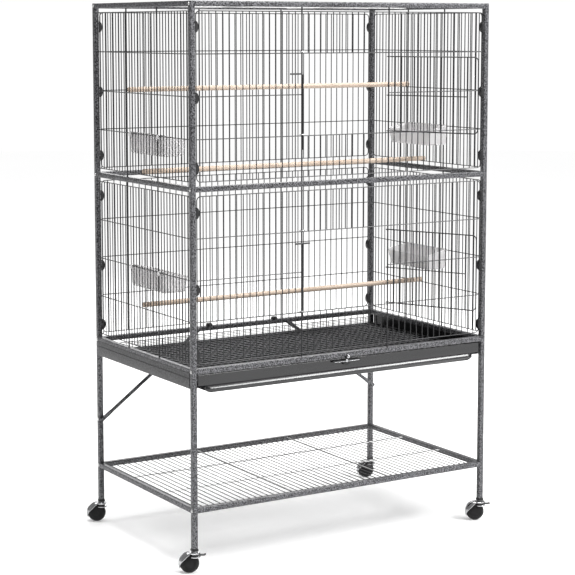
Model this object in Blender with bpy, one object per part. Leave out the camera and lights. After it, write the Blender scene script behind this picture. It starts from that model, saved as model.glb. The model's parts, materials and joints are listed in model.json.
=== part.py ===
"""Two-tier wire bird cage on a rolling stand. Metres, +Z up, the front faces -Y."""

import math

import bmesh
import bpy
from mathutils import Matrix

for leftover in list(bpy.data.objects):
    bpy.data.objects.remove(leftover, do_unlink=True)

# Overall sizes
TOTAL_HEIGHT = 1.320
POST_SPAN_X = 0.834  # post centre to post centre
POST_SPAN_Y = 0.500
TUBE = 0.0127  # square tube, outside
TUBE_WALL = 0.0010
FIT = 0.0003  # gap between pieces that touch

# Heights
BASE_RAIL_Z = 0.4735  # centre of the base rails
SHELF_RAIL_Z = 0.1470

# Wire panels
WIRE = 0.0024
ROD = 0.0036  # the long rods that tie a panel to its rails
WALL_PITCH_X = 0.0177  # spacing of the upright wires in front and back
WALL_PITCH_Y = 0.01458  # and in the two sides
ROD_STEP_X = 7  # pitches from the middle of the wall to a long rod
ROD_STEP_Y = 5.5
KEPT_FIRST_X = 2  # the upright wire that the solid lattice keeps next to the middle
KEPT_FIRST_Y = 1.5
KEPT_EVERY = 4  # and from the long rod outwards, one in four
PANEL_EDGE_GAP = 0.0035  # panel edge to post
PANEL_RAIL_GAP = 0.0165  # first crosswire to the rail's centre
CROSSWIRES = 5
TOP_CROSSBARS = 2
SHELF_CROSSBARS = 2

# Doors
DOOR_FREE_GAP = 0.0048  # free edge to the far rod
DOOR_LIFT = 0.0030  # clear of the crosswire under it
DOOR_TOP_GAP = 0.0085  # and of the one above
DOOR_OPEN = 115.0  # degrees from closed, as it stands
DOOR_COLUMNS = 4
KNUCKLE_INNER = 0.0030
KNUCKLE_OUTER = 0.0048
DOOR_BOTTOM_CROSSWIRE = 3
DOOR_TOP_CROSSWIRE = 1
MIDDLE_KNUCKLE_DROP = 0.0060

# Door latches
LATCH_ROD = 0.0040
LATCH_LENGTH = 0.180
LATCH_HANDLE = 0.034
LATCH_RISE_UPPER = 0.0505  # handle above the middle of the doorway
LATCH_RISE_LOWER = 0.0705

# Feeder cups
FEEDER_LENGTH = 0.180
FEEDER_DEPTH = 0.065
FEEDER_BACK = 0.052
FEEDER_FRONT = 0.038
FEEDER_TAPER = 0.006
FEEDER_WALL = 0.0020
FEEDER_STAND_OFF = 0.0018  # back wall to the wires
FEEDER_HOOK = 0.0080
FEEDER_HOOK_DROP = 0.0100
FEEDER_SHIFT = -1  # wall pitches from the middle
FEEDER_HOOK_STEPS = 5
FEEDER_CROSSWIRE_UPPER = 3
FEEDER_CROSSWIRE_LOWER = 2

# Perches
PERCH = 0.0125
PERCH_PLACES = (("upper_rear", 1, 2, 0.075), ("upper_middle", 1, 4, 0.0), ("lower_middle", 0, 3, 0.008))

# Base
CHANNEL_DEPTH = 0.0340  # below the side rails
CHANNEL_SHEET = 0.0012
CHANNEL_FLANGE = 0.0240
TRAY_SIDE_CLEARANCE = 0.0045  # tray to the front legs
TRAY_WALL = 0.0020
TRAY_RIM = 0.0090
TRAY_BELLY = 0.0160
TRAY_BELLY_INSET = 0.0300
TRAY_BELLY_TAPER = 0.0080
TRAY_BACK_CLEARANCE = 0.0120
TRAY_FRONT_SET = 0.0180  # belly behind the apron
APRON_HEIGHT = 0.0250
APRON_TOP_CLEARANCE = 0.0030
GRATE_COLUMNS = 10
GRATE_ROWS = 5
GRATE_THICK = 0.0022
TURN_BAR = 0.0800
TURN_PLATE = 0.0015
TURN_KNOB = 0.0045
TURN_STALK = 0.0080
TURN_TAB = 0.0110

# Braces
BRACE_ROD = 0.0090
BRACE_FLAT = 0.0030
BRACE_LEG_Z = 0.2670
BRACE_REACH = 0.282
BRACE_END = 0.0220  # flattened length
BRACE_BLEND = 0.0160

# Casters
WHEEL_RADIUS = 0.0230
WHEEL_HALF = 0.0115
WHEEL_BORE = 0.0031
AXLE = 0.0028
CASTER_TRAIL = 0.0120
CASTER_HEADROOM = 0.0028  # hood to the foot of the leg
CASTER_YAW = 150.0
HOOD_GAP = 0.0017
HOOD_SHEET = 0.0015
STEM = 0.0040
STEM_LENGTH = 0.0340
NECK = 0.0070
BRAKE_LENGTH = 0.0190
BRAKE_WIDTH = 0.0120
BRAKE_SHEET = 0.0016
BRAKE_HEEL = 0.0050  # pivot to the inner end
BRAKE_SET_OUT = 0.0055  # pivot from the neck
BRAKE_OVER_HOOD = 0.0020  # middle of the pedal above the hood, at its inner end

HALF_X = POST_SPAN_X / 2
HALF_Y = POST_SPAN_Y / 2
HALF_TUBE = TUBE / 2
TOP_RAIL_Z = TOTAL_HEIGHT - HALF_TUBE
TIER = (TOP_RAIL_Z - BASE_RAIL_Z) / 2
MID_RAIL_Z = BASE_RAIL_Z + TIER
TIER_BASE = (BASE_RAIL_Z, MID_RAIL_Z)
CROSSWIRE_STEP = (TIER - 2 * PANEL_RAIL_GAP) / (CROSSWIRES - 1)
CLEAR_X = POST_SPAN_X - TUBE - 2 * FIT  # length of a rail between posts
CLEAR_Y = POST_SPAN_Y - TUBE - 2 * FIT
PANEL_HALF_X = HALF_X - HALF_TUBE - PANEL_EDGE_GAP
PANEL_HALF_Y = HALF_Y - HALF_TUBE - PANEL_EDGE_GAP
DOOR_HINGE_X = ROD_STEP_X * WALL_PITCH_X
DOOR_WIDTH = 2 * DOOR_HINGE_X - DOOR_FREE_GAP  # hinge axis to free edge
DOORWAY_HEIGHT = (DOOR_BOTTOM_CROSSWIRE - DOOR_TOP_CROSSWIRE) * CROSSWIRE_STEP
DOOR_HEIGHT = DOORWAY_HEIGHT - DOOR_LIFT - DOOR_TOP_GAP

# The origin is under the middle of the whole outline, open doors and trailing casters included.
HOOD_INNER = WHEEL_RADIUS + HOOD_GAP
HOOD_OUTER = HOOD_INNER + HOOD_SHEET
CHEEK_INNER = WHEEL_HALF + HOOD_GAP
CHEEK_OUTER = CHEEK_INNER + HOOD_SHEET
LEG_FOOT_Z = WHEEL_RADIUS + HOOD_OUTER + CASTER_HEADROOM
BRAKE_PIVOT_X = -NECK - BRAKE_SET_OUT
HEEL_REACH = CASTER_TRAIL - BRAKE_PIVOT_X - BRAKE_HEEL  # wheel axle to the pedal's inner end, level
BRAKE_PIVOT_Z = WHEEL_RADIUS + math.sqrt(HOOD_OUTER**2 - HEEL_REACH**2) + BRAKE_OVER_HOOD
DOOR_REACH = DOOR_WIDTH * math.sin(math.radians(DOOR_OPEN))
CASTER_REACH = (CASTER_TRAIL + HOOD_OUTER) * math.sin(math.radians(CASTER_YAW)) - CHEEK_OUTER * math.cos(
    math.radians(CASTER_YAW)
)
CAGE_Y = (DOOR_REACH - CASTER_REACH) / 2

# Turns from a piece's own flat drawing plane to where it stands
FACING_FRONT = (math.pi / 2, 0, 0)  # drawn x, y stand along +X, +Z
FACING_SIDE = (math.pi / 2, 0, math.pi / 2)  # along +Y, +Z
LYING = (0, 0, 0)
ALONG_X = (0, math.pi / 2, 0)  # drawn z lies along +X
ALONG_Y = (-math.pi / 2, 0, 0)

CORNERS = {"front_left": (-1, -1), "front_right": (1, -1), "back_left": (-1, 1), "back_right": (1, 1)}


def finish(name, colour, roughness, metallic):
    material = bpy.data.materials.new(name)
    material.use_nodes = True
    shader = material.node_tree.nodes["Principled BSDF"]
    shader.inputs["Base Color"].default_value = (*colour, 1)
    shader.inputs["Roughness"].default_value = roughness
    shader.inputs["Metallic"].default_value = metallic
    return material


def piece(name, mesh, look, place, turn=LYING, parent=None):
    thing = bpy.data.objects.new(name, mesh)
    bpy.context.collection.objects.link(thing)
    thing.parent = parent or cage
    thing.location = place
    thing.rotation_euler = turn
    if not mesh.materials:
        mesh.materials.append(look)
    return thing


def anchor(name, place, turn=LYING, parent=None):
    empty = bpy.data.objects.new(name, None)
    bpy.context.collection.objects.link(empty)
    empty.parent = parent
    empty.location = place
    empty.rotation_euler = turn
    return empty


def mesh_of(name, shape):
    bmesh.ops.recalc_face_normals(shape, faces=shape.faces)
    mesh = bpy.data.meshes.new(name)
    shape.to_mesh(mesh)
    shape.free()
    return mesh


def lofted(name, rings, closed=False):
    """A skin over rings of equal length; the end rings are capped unless the rings close on themselves."""
    shape = bmesh.new()
    rows = [[shape.verts.new(point) for point in ring] for ring in rings]
    count = len(rows[0])
    spans = list(zip(rows, rows[1:]))
    if closed:
        spans.append((rows[-1], rows[0]))
    for low, high in spans:
        for i in range(count):
            j = (i + 1) % count
            shape.faces.new((low[i], low[j], high[j], high[i]))
    if not closed:
        shape.faces.new(rows[0][::-1])
        shape.faces.new(rows[-1])
    return mesh_of(name, shape)


def square(half_x, half_y, z):
    return [(-half_x, -half_y, z), (half_x, -half_y, z), (half_x, half_y, z), (-half_x, half_y, z)]


def square_tube_mesh(name, length):
    """A hollow tube along its own z, centred, open at both ends."""
    outer = HALF_TUBE
    inner = HALF_TUBE - TUBE_WALL
    end = length / 2
    sizes = ((outer, -end), (outer, end), (inner, end), (inner, -end))
    return lofted(name, [square(half, half, z) for half, z in sizes], closed=True)


def round_bar_mesh(name, radius, low, high, sides=12):
    """A bar along its own z."""
    rings = []
    for z in (low, high):
        turns = [math.tau * i / sides for i in range(sides)]
        rings.append([(radius * math.cos(t), radius * math.sin(t), z) for t in turns])
    return lofted(name, rings)


def block_mesh(name, low, high):
    rings = []
    for z in (low[2], high[2]):
        rings.append([(low[0], low[1], z), (high[0], low[1], z), (high[0], high[1], z), (low[0], high[1], z)])
    return lofted(name, rings)


def profile_mesh(name, outline, low, high):
    """A flat outline in x and y, pulled along z from low to high."""
    return lofted(name, [[(x, y, z) for x, y in outline] for z in (low, high)])


def lattice_mesh(name, bars, thickness):
    """Flush bars in one plane. Each bar is a rectangle (x low, x high, y low, y high)."""
    xs = sorted({round(edge, 7) for bar in bars for edge in bar[:2]})
    ys = sorted({round(edge, 7) for bar in bars for edge in bar[2:]})
    filled = set()
    for x_low, x_high, y_low, y_high in bars:
        for i, x in enumerate(xs[:-1]):
            if x < round(x_low, 7) or xs[i + 1] > round(x_high, 7):
                continue
            for j, y in enumerate(ys[:-1]):
                if y >= round(y_low, 7) and ys[j + 1] <= round(y_high, 7):
                    filled.add((i, j))
    shape = bmesh.new()
    corners = {}

    def corner(i, j, side):
        if (i, j, side) not in corners:
            corners[i, j, side] = shape.verts.new((xs[i], ys[j], side * thickness / 2))
        return corners[i, j, side]

    for i, j in filled:
        around = [(i, j), (i + 1, j), (i + 1, j + 1), (i, j + 1)]
        shape.faces.new([corner(*at, 1) for at in around])
        shape.faces.new([corner(*at, -1) for at in around[::-1]])
        beside = [(i, j - 1), (i + 1, j), (i, j + 1), (i - 1, j)]
        for k, neighbour in enumerate(beside):
            if neighbour not in filled:
                a, b = around[k], around[(k + 1) % 4]
                shape.faces.new((corner(*a, -1), corner(*b, -1), corner(*b, 1), corner(*a, 1)))
    return mesh_of(name, shape)


def turned_mesh(name, outline, turn_from=0.0, turn_to=math.tau, steps=20):
    """Turns an outline of (along y, radius) about y. The angle runs from +x to +z."""
    shape = bmesh.new()
    whole = math.isclose(turn_to - turn_from, math.tau)
    angles = [turn_from + (turn_to - turn_from) * i / steps for i in range(steps if whole else steps + 1)]
    on_axis = {k: shape.verts.new((0, y, 0)) for k, (y, r) in enumerate(outline) if r == 0}
    rows = []
    for angle in angles:
        row = []
        for k, (y, r) in enumerate(outline):
            row.append(on_axis.get(k) or shape.verts.new((r * math.cos(angle), y, r * math.sin(angle))))
        rows.append(row)
    count = len(outline)
    spans = list(zip(rows, rows[1:] + rows[:1] if whole else rows[1:]))
    for here, there in spans:
        for k in range(count):
            loop = [here[k], here[(k + 1) % count], there[(k + 1) % count], there[k]]
            corners = list(dict.fromkeys(loop))
            if len(corners) > 2:
                shape.faces.new(corners)
    if not whole:
        shape.faces.new(rows[0])
        shape.faces.new(rows[-1][::-1])
    return mesh_of(name, shape)


def moved(mesh, place=(0, 0, 0), turn=LYING):
    """A mesh turned and then shifted in its own space."""
    matrix = Matrix.Translation(place)
    for axis, angle in zip("XYZ", turn):
        matrix = matrix @ Matrix.Rotation(angle, 4, axis)
    mesh.transform(matrix)
    return mesh


def combined(name, first, *steps):
    """One closed mesh: the first, joined with or cut by the others in turn."""
    base = bpy.data.objects.new(name, first)
    bpy.context.collection.objects.link(base)
    helpers = []
    for operation, mesh in steps:
        helper = bpy.data.objects.new(name + "_tool", mesh)
        bpy.context.collection.objects.link(helper)
        modifier = base.modifiers.new(operation.title(), "BOOLEAN")
        modifier.operation = operation
        modifier.object = helper
        modifier.solver = "EXACT"
        helpers.append(helper)
    bpy.context.view_layer.update()
    graph = bpy.context.evaluated_depsgraph_get()
    result = bpy.data.meshes.new_from_object(base.evaluated_get(graph))
    for helper in [base, *helpers]:
        bpy.data.objects.remove(helper, do_unlink=True)
    result.name = name
    return result


def shaded_round(mesh):
    mesh.shade_smooth()
    mesh.set_sharp_from_angle(angle=math.radians(35))
    return mesh


def both_sides(steps):
    return sorted({sign * step for step in steps for sign in (-1, 1)})


def upright(x, half, low, high):
    return (x - half, x + half, low, high)


def crosswise(y, half, low, high):
    return (low, high, y - half, y + half)


# Frame: legs, posts and rails


def build_legs_and_posts():
    leg_top = BASE_RAIL_Z + HALF_TUBE - FIT / 2
    post_foot = leg_top + FIT
    leg = square_tube_mesh("leg", leg_top - LEG_FOOT_Z)
    post = square_tube_mesh("corner_post", TOTAL_HEIGHT - post_foot)
    for corner, (side_x, side_y) in CORNERS.items():
        x = side_x * HALF_X
        y = side_y * HALF_Y
        piece(f"leg_{corner}", leg, dark_tube, (x, y, (leg_top + LEG_FOOT_Z) / 2))
        piece(f"corner_post_{corner}", post, dark_tube, (x, y, (TOTAL_HEIGHT + post_foot) / 2))


def build_rails():
    along_x = square_tube_mesh("rail_along_x", CLEAR_X)
    along_y = square_tube_mesh("rail_along_y", CLEAR_Y)
    levels = {"shelf": SHELF_RAIL_Z, "base": BASE_RAIL_Z, "middle": MID_RAIL_Z, "top": TOP_RAIL_Z}
    for level, z in levels.items():
        piece(f"{level}_rail_front", along_x, dark_tube, (0, -HALF_Y, z), ALONG_X)
        piece(f"{level}_rail_back", along_x, dark_tube, (0, HALF_Y, z), ALONG_X)
        if level == "base":
            continue  # the side rails there are welded to the guide channels
        piece(f"{level}_rail_left", along_y, dark_tube, (-HALF_X, 0, z), ALONG_Y)
        piece(f"{level}_rail_right", along_y, dark_tube, (HALF_X, 0, z), ALONG_Y)


# Wire panels


def crosswire_z(tier, number):
    """Height of a crosswire, counted from the top of its tier."""
    return TIER_BASE[tier] + TIER - PANEL_RAIL_GAP - number * CROSSWIRE_STEP


def kept_steps(half_width, pitch, first, rod_step):
    """Upright wires of the solid lattice, in pitches from the middle, on both sides of it."""
    steps = [first, rod_step]
    while (steps[-1] + KEPT_EVERY + 1) * pitch < half_width:
        steps.append(steps[-1] + KEPT_EVERY)
    return both_sides(steps)


def wall_bars(half_width, pitch, first, rod_step):
    """Upright and cross bars of one wall, about the middle of its tier."""
    reach = TIER / 2 - HALF_TUBE - FIT
    edge = TIER / 2 - PANEL_RAIL_GAP + WIRE / 2
    bars = []
    for step in kept_steps(half_width, pitch, first, rod_step):
        is_rod = abs(step) == rod_step
        half = (ROD if is_rod else WIRE) / 2
        end = reach if is_rod else edge
        bars.append(upright(step * pitch, half, -end, end))
    for side in (-1, 1):
        bars.append(upright(side * (half_width - WIRE / 2), WIRE / 2, -edge, edge))
    for number in range(CROSSWIRES):
        y = TIER / 2 - PANEL_RAIL_GAP - number * CROSSWIRE_STEP
        bars.append(crosswise(y, WIRE / 2, -half_width, half_width))
    return bars


def with_doorway(bars):
    """Takes out what lies between the rods and between the doorway's two crosswires."""
    top = TIER / 2 - PANEL_RAIL_GAP - DOOR_TOP_CROSSWIRE * CROSSWIRE_STEP
    bottom = TIER / 2 - PANEL_RAIL_GAP - DOOR_BOTTOM_CROSSWIRE * CROSSWIRE_STEP
    left = -DOOR_HINGE_X
    kept = []
    for low_x, high_x, low_y, high_y in bars:
        is_upright = high_y - low_y > high_x - low_x
        inside_x = left < (low_x + high_x) / 2 < -left
        if is_upright and inside_x:
            kept.append((low_x, high_x, top, high_y))
            kept.append((low_x, high_x, low_y, bottom))
        elif not is_upright and bottom + WIRE < (low_y + high_y) / 2 < top - WIRE:
            kept.append((low_x, left, low_y, high_y))
            kept.append((-left, high_x, low_y, high_y))
        else:
            kept.append((low_x, high_x, low_y, high_y))
    return kept


def build_walls():
    broad = wall_bars(PANEL_HALF_X, WALL_PITCH_X, KEPT_FIRST_X, ROD_STEP_X)
    back = lattice_mesh("back_wall", broad, WIRE)
    front = lattice_mesh("front_wall", with_doorway(broad), WIRE)
    narrow = wall_bars(PANEL_HALF_Y, WALL_PITCH_Y, KEPT_FIRST_Y, ROD_STEP_Y)
    side = lattice_mesh("side_wall", narrow, WIRE)
    for tier, label in enumerate(("lower", "upper")):
        z = TIER_BASE[tier] + TIER / 2
        piece(f"{label}_panel_front", front, black_wire, (0, -HALF_Y, z), FACING_FRONT)
        piece(f"{label}_panel_back", back, black_wire, (0, HALF_Y, z), FACING_FRONT)
        piece(f"{label}_panel_left", side, black_wire, (-HALF_X, 0, z), FACING_SIDE)
        piece(f"{label}_panel_right", side, black_wire, (HALF_X, 0, z), FACING_SIDE)


def deck_bars(crossbars):
    """Wires front to back and thicker rods across, inside a frame of rails."""
    end_x = HALF_X - HALF_TUBE - FIT
    end_y = HALF_Y - HALF_TUBE - FIT
    bars = []
    for step in kept_steps(PANEL_HALF_X, WALL_PITCH_X, KEPT_FIRST_X, ROD_STEP_X):
        half = (ROD if step in (-ROD_STEP_X, ROD_STEP_X) else WIRE) / 2
        bars.append(upright(step * WALL_PITCH_X, half, -end_y, end_y))
    for side in (-1, 1):
        bars.append(upright(side * PANEL_HALF_X, WIRE / 2, -end_y, end_y))
    for number in range(1, crossbars + 1):
        y = -HALF_Y + POST_SPAN_Y * number / (crossbars + 1)
        bars.append(crosswise(y, ROD / 2, -end_x, end_x))
    return bars


def build_decks():
    shelf = lattice_mesh("shelf_deck", deck_bars(SHELF_CROSSBARS), ROD)
    piece("shelf_deck", shelf, black_wire, (0, 0, SHELF_RAIL_Z + HALF_TUBE - ROD / 2))
    top = lattice_mesh("top_panel", deck_bars(TOP_CROSSBARS), WIRE)
    piece("top_panel", top, black_wire, (0, 0, TOP_RAIL_Z))


# Doors and their latches


def knuckle_mesh(name):
    """A wire loop round the hinge rod, about z, open where it meets the door."""
    height = WIRE
    steps = 10
    opening = math.radians(8)
    angles = [opening + (math.tau - 2 * opening) * i / steps for i in range(steps + 1)]
    rings = []
    for angle in angles:
        cos, sin = math.cos(angle), math.sin(angle)
        inner, outer = KNUCKLE_INNER, KNUCKLE_OUTER
        ring = [(inner, -height / 2), (outer, -height / 2), (outer, height / 2), (inner, height / 2)]
        rings.append([(r * cos, r * sin, z) for r, z in ring])
    return lofted(name, rings)


def door_mesh():
    """Drawn closed and lying: x from the hinge axis to the free edge, y up."""
    first = KNUCKLE_INNER + FIT
    column_step = (DOOR_WIDTH - WIRE) / DOOR_COLUMNS
    middle = DOORWAY_HEIGHT / 2 - DOOR_LIFT - MIDDLE_KNUCKLE_DROP
    heights = (WIRE / 2, middle, DOOR_HEIGHT - WIRE / 2)
    bars = [crosswise(y, WIRE / 2, first, DOOR_WIDTH) for y in heights]
    for number in range(1, DOOR_COLUMNS + 1):
        bars.append(upright(number * column_step + WIRE / 2, WIRE / 2, 0, DOOR_HEIGHT))
    bars.append(upright(WALL_PITCH_X, WIRE / 2, 0, DOOR_HEIGHT))
    flat = moved(lattice_mesh("door_flat", bars, WIRE), turn=FACING_FRONT)
    loops = []
    for number, y in enumerate(heights):
        loops.append(("UNION", moved(knuckle_mesh(f"knuckle_{number}"), (0, 0, y))))
    return combined("door", flat, *loops)


def build_doors():
    mesh = door_mesh()
    for tier, label in enumerate(("lower", "upper")):
        z = crosswire_z(tier, DOOR_BOTTOM_CROSSWIRE) + DOOR_LIFT
        turn = (0, 0, math.pi + math.radians(DOOR_OPEN))
        piece(f"{label}_door", mesh, black_wire, (DOOR_HINGE_X, -HALF_Y, z), turn)


def build_latches():
    """A drop rod with a handle to the left, just in front of the left-hand long rod."""
    rod = round_bar_mesh("latch_rod", LATCH_ROD / 2, -LATCH_LENGTH, 0, sides=8)
    handle = round_bar_mesh("latch_handle", LATCH_ROD / 2, 0, LATCH_HANDLE, sides=8)
    moved(handle, (LATCH_ROD / 4, 0, -LATCH_ROD / 2 - FIT), (0, -math.pi / 2, 0))
    mesh = combined("door_latch", rod, ("UNION", handle))
    y = -HALF_Y - WIRE / 2 - LATCH_ROD / 2 - 2 * FIT
    for tier, label, rise in ((0, "lower", LATCH_RISE_LOWER), (1, "upper", LATCH_RISE_UPPER)):
        z = crosswire_z(tier, DOOR_BOTTOM_CROSSWIRE) + DOORWAY_HEIGHT / 2 + rise
        piece(f"{label}_door_latch", mesh, black_wire, (-DOOR_HINGE_X, y, z))


# Feeders and perches


def feeder_mesh():
    """An open cup that hangs from a crosswire. x points into the cage, from the wires' middle."""
    back = WIRE / 2 + FEEDER_STAND_OFF
    front = back + FEEDER_DEPTH
    half = FEEDER_LENGTH / 2
    rim = WIRE / 2 + FIT + FEEDER_WALL
    front_rim = rim - (FEEDER_BACK - FEEDER_FRONT)
    floor = rim - FEEDER_BACK
    wall = FEEDER_WALL
    taper = FEEDER_TAPER

    def ring(low_x, high_x, half_y, back_z, front_z):
        near = [(low_x, -half_y, back_z), (high_x, -half_y, front_z)]
        return near + [(high_x, half_y, front_z), (low_x, half_y, back_z)]

    rings = [
        ring(back, front - taper, half - taper, floor, floor),
        ring(back, front, half, rim, front_rim),
        ring(back + wall, front - wall, half - wall, rim, front_rim),
        ring(back + wall, front - taper - wall, half - taper - wall, floor + wall, floor + wall),
    ]
    cup = lofted("feeder_cup", rings)
    outside = WIRE / 2 + 2 * FIT
    hooks = []
    for side in (-1, 1):
        y = side * FEEDER_HOOK_STEPS * WALL_PITCH_Y
        low_y = y - FEEDER_HOOK / 2
        high_y = y + FEEDER_HOOK / 2
        outline = [
            (back + wall / 2, rim - wall),
            (back + wall / 2, rim),
            (-outside - wall, rim),
            (-outside - wall, rim - FEEDER_HOOK_DROP),
            (-outside, rim - FEEDER_HOOK_DROP),
            (-outside, rim - wall),
        ]
        hook = profile_mesh("feeder_hook", outline, -high_y, -low_y)
        hooks.append(("UNION", moved(hook, turn=(math.pi / 2, 0, 0))))
    return combined("feeder", cup, *hooks)


def build_feeders():
    mesh = feeder_mesh()
    y = FEEDER_SHIFT * WALL_PITCH_Y
    for tier, label, number in ((0, "lower", FEEDER_CROSSWIRE_LOWER), (1, "upper", FEEDER_CROSSWIRE_UPPER)):
        z = crosswire_z(tier, number)
        piece(f"{label}_feeder_left", mesh, clear_plastic, (-HALF_X, y, z))
        piece(f"{label}_feeder_right", mesh, clear_plastic, (HALF_X, y, z), (0, 0, math.pi))


def build_perches():
    half_length = HALF_X - WIRE / 2 - FIT
    mesh = shaded_round(round_bar_mesh("perch", PERCH / 2, -half_length, half_length, sides=14))
    for label, tier, number, y in PERCH_PLACES:
        z = crosswire_z(tier, number) + WIRE / 2 + PERCH / 2
        piece(f"perch_{label}", mesh, pale_wood, (0, y, z), ALONG_X)


# Base: guide channels, tray, grate and turn latch


def channel_bottom():
    return BASE_RAIL_Z - HALF_TUBE - CHANNEL_DEPTH


def build_base_sides():
    """Each side rail has a guide channel welded under it, whose lower flange carries the tray."""
    top = BASE_RAIL_Z - HALF_TUBE + TUBE_WALL / 2
    bottom = channel_bottom()
    sheet = CHANNEL_SHEET
    web = HALF_TUBE
    outline = [
        (-web, bottom),
        (-web, top),
        (web, top),
        (web, top - sheet),
        (-web + sheet, top - sheet),
        (-web + sheet, bottom + sheet),
        (-web + CHANNEL_FLANGE, bottom + sheet),
        (-web + CHANNEL_FLANGE, bottom),
    ]
    half = CLEAR_Y / 2
    channel = moved(profile_mesh("guide_channel", outline, -half, half), turn=(math.pi / 2, 0, 0))
    rail = moved(square_tube_mesh("side_rail", CLEAR_Y), (0, 0, BASE_RAIL_Z), ALONG_Y)
    mesh = combined("base_side", rail, ("UNION", channel))
    piece("base_side_left", mesh, dark_tube, (-HALF_X, 0, 0))
    piece("base_side_right", mesh, dark_tube, (HALF_X, 0, 0), (0, 0, math.pi))


def tray_sizes():
    half_x = HALF_X - HALF_TUBE - TRAY_SIDE_CLEARANCE
    ledge = channel_bottom() + CHANNEL_SHEET + FIT
    front = -HALF_Y
    back = HALF_Y - HALF_TUBE - TRAY_BACK_CLEARANCE
    return half_x, ledge, front, back


def tray_ring(half_x, front, back, z):
    return [(-half_x, front, z), (half_x, front, z), (half_x, back, z), (-half_x, back, z)]


def build_tray():
    """A pan whose edge rides on the channels, with a deeper belly between them and an apron in front."""
    half_x, ledge, front, back = tray_sizes()
    wall = TRAY_WALL
    belly_x = half_x - TRAY_BELLY_INSET
    belly_front = front + TRAY_FRONT_SET
    belly_back = back - TRAY_FRONT_SET
    taper = TRAY_BELLY_TAPER
    floor = ledge - TRAY_BELLY
    rim = ledge + TRAY_RIM
    outside = [
        (belly_x - taper, belly_front + taper / 2, belly_back - taper, floor),
        (belly_x, belly_front, belly_back, ledge),
        (half_x, front, back, ledge),
        (half_x, front, back, rim),
    ]
    inside = [(x - wall, low + wall, high - wall, z + wall) for x, low, high, z in reversed(outside[:3])]
    inside.insert(0, (half_x - wall, front + wall, back - wall, rim))
    pan = lofted("tray_pan", [tray_ring(*sizes) for sizes in outside + inside])
    rail_bottom = BASE_RAIL_Z - HALF_TUBE
    apron_top = rail_bottom - APRON_TOP_CLEARANCE
    apron_low = (-half_x, front - wall, apron_top - APRON_HEIGHT)
    apron_high = (half_x, front + wall / 2, apron_top)
    mesh = combined("tray", pan, ("UNION", block_mesh("apron", apron_low, apron_high)))
    piece("tray", mesh, black_plastic, (0, 0, 0))
    return apron_top


def build_grate():
    half_x, ledge, front, back = tray_sizes()
    z = ledge + TRAY_RIM + FIT + GRATE_THICK / 2
    low_y = front + TRAY_WALL
    bars = []
    for column in range(GRATE_COLUMNS + 1):
        x = -half_x + WIRE / 2 + (2 * half_x - WIRE) * column / GRATE_COLUMNS
        bars.append(upright(x, WIRE / 2, low_y, back))
    for row in range(GRATE_ROWS + 1):
        y = low_y + WIRE / 2 + (back - low_y - WIRE) * row / GRATE_ROWS
        bars.append(crosswise(y, WIRE / 2, -half_x, half_x))
    piece("grate", lattice_mesh("grate", bars, GRATE_THICK), black_wire, (0, 0, z))


def build_turn_latch(apron_top):
    """A flat bar that turns on the apron, with a knob above it and a round tab below."""
    half = TURN_BAR / 2
    bar_half = WIRE
    stalk = TURN_STALK / 2
    tab = TURN_TAB
    knob_z = BASE_RAIL_Z + FIT * 6 - (apron_top - bar_half * 2)
    outline = [(-half, -bar_half), (-tab, -bar_half)]
    for step in range(1, 6):
        angle = math.pi + math.pi * step / 6
        outline.append((tab * math.cos(angle), -bar_half + tab * math.sin(angle) * 0.8))
    outline += [(tab, -bar_half), (half, -bar_half), (half, bar_half), (stalk, bar_half)]
    outline += [(stalk, knob_z), (-stalk, knob_z), (-stalk, bar_half), (-half, bar_half)]
    plate = moved(profile_mesh("turn_plate", outline, 0, TURN_PLATE), turn=FACING_FRONT)
    neck = TURN_KNOB * 0.66
    knob_outline = [(0, 0), (0, neck), (-0.004, neck), (-0.005, TURN_KNOB), (-0.010, TURN_KNOB)]
    knob_outline += [(-0.012, neck), (-0.0125, 0)]
    knob = moved(turned_mesh("turn_knob", knob_outline, steps=12), (0, 0, knob_z - TURN_KNOB))
    y = -HALF_Y - HALF_TUBE - 2 * FIT
    boss_end = -HALF_Y - TRAY_WALL - FIT - y
    boss = turned_mesh("turn_boss", drum_outline(-TURN_PLATE / 2, boss_end, neck), steps=12)
    mesh = combined("tray_latch", plate, ("UNION", knob), ("UNION", boss))
    piece("tray_latch", mesh, dark_sheet, (0, y, apron_top - bar_half * 2))


# Braces


def brace_mesh():
    """A bar along x with flattened ends, drawn at length zero to one end."""
    run = math.hypot(BRACE_REACH, BASE_RAIL_Z - BRACE_LEG_Z)
    flat = BRACE_END
    blend = BRACE_BLEND
    end = HALF_TUBE * 0.9
    half = BRACE_ROD / 2
    stations = [(-end, 0), (flat, 0), (flat + blend, 1)]
    stations += [(run - flat - blend, 1), (run - flat, 0), (run + end, 0)]
    rings = []
    for x, roundness in stations:
        ring = []
        for step in range(10):
            angle = math.tau * step / 10
            wide = half * (1.25 - 0.25 * roundness)
            thin = BRACE_FLAT / 2 + (half - BRACE_FLAT / 2) * roundness
            ring.append((x, thin * math.cos(angle), wide * math.sin(angle)))
        rings.append(ring)
    return lofted("brace", rings)


def build_braces():
    mesh = shaded_round(brace_mesh())
    slope = math.atan2(BASE_RAIL_Z - BRACE_LEG_Z, BRACE_REACH)
    y = HALF_Y - HALF_TUBE - FIT - BRACE_ROD / 2
    piece("brace_left", mesh, dark_tube, (-HALF_X, y, BRACE_LEG_Z), (0, -slope, 0))
    piece("brace_right", mesh, dark_tube, (HALF_X, y, BRACE_LEG_Z), (0, -slope, math.pi))


# Casters


def drum_outline(low, high, radius):
    return [(low, 0), (low, radius), (high, radius), (high, 0)]


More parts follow.
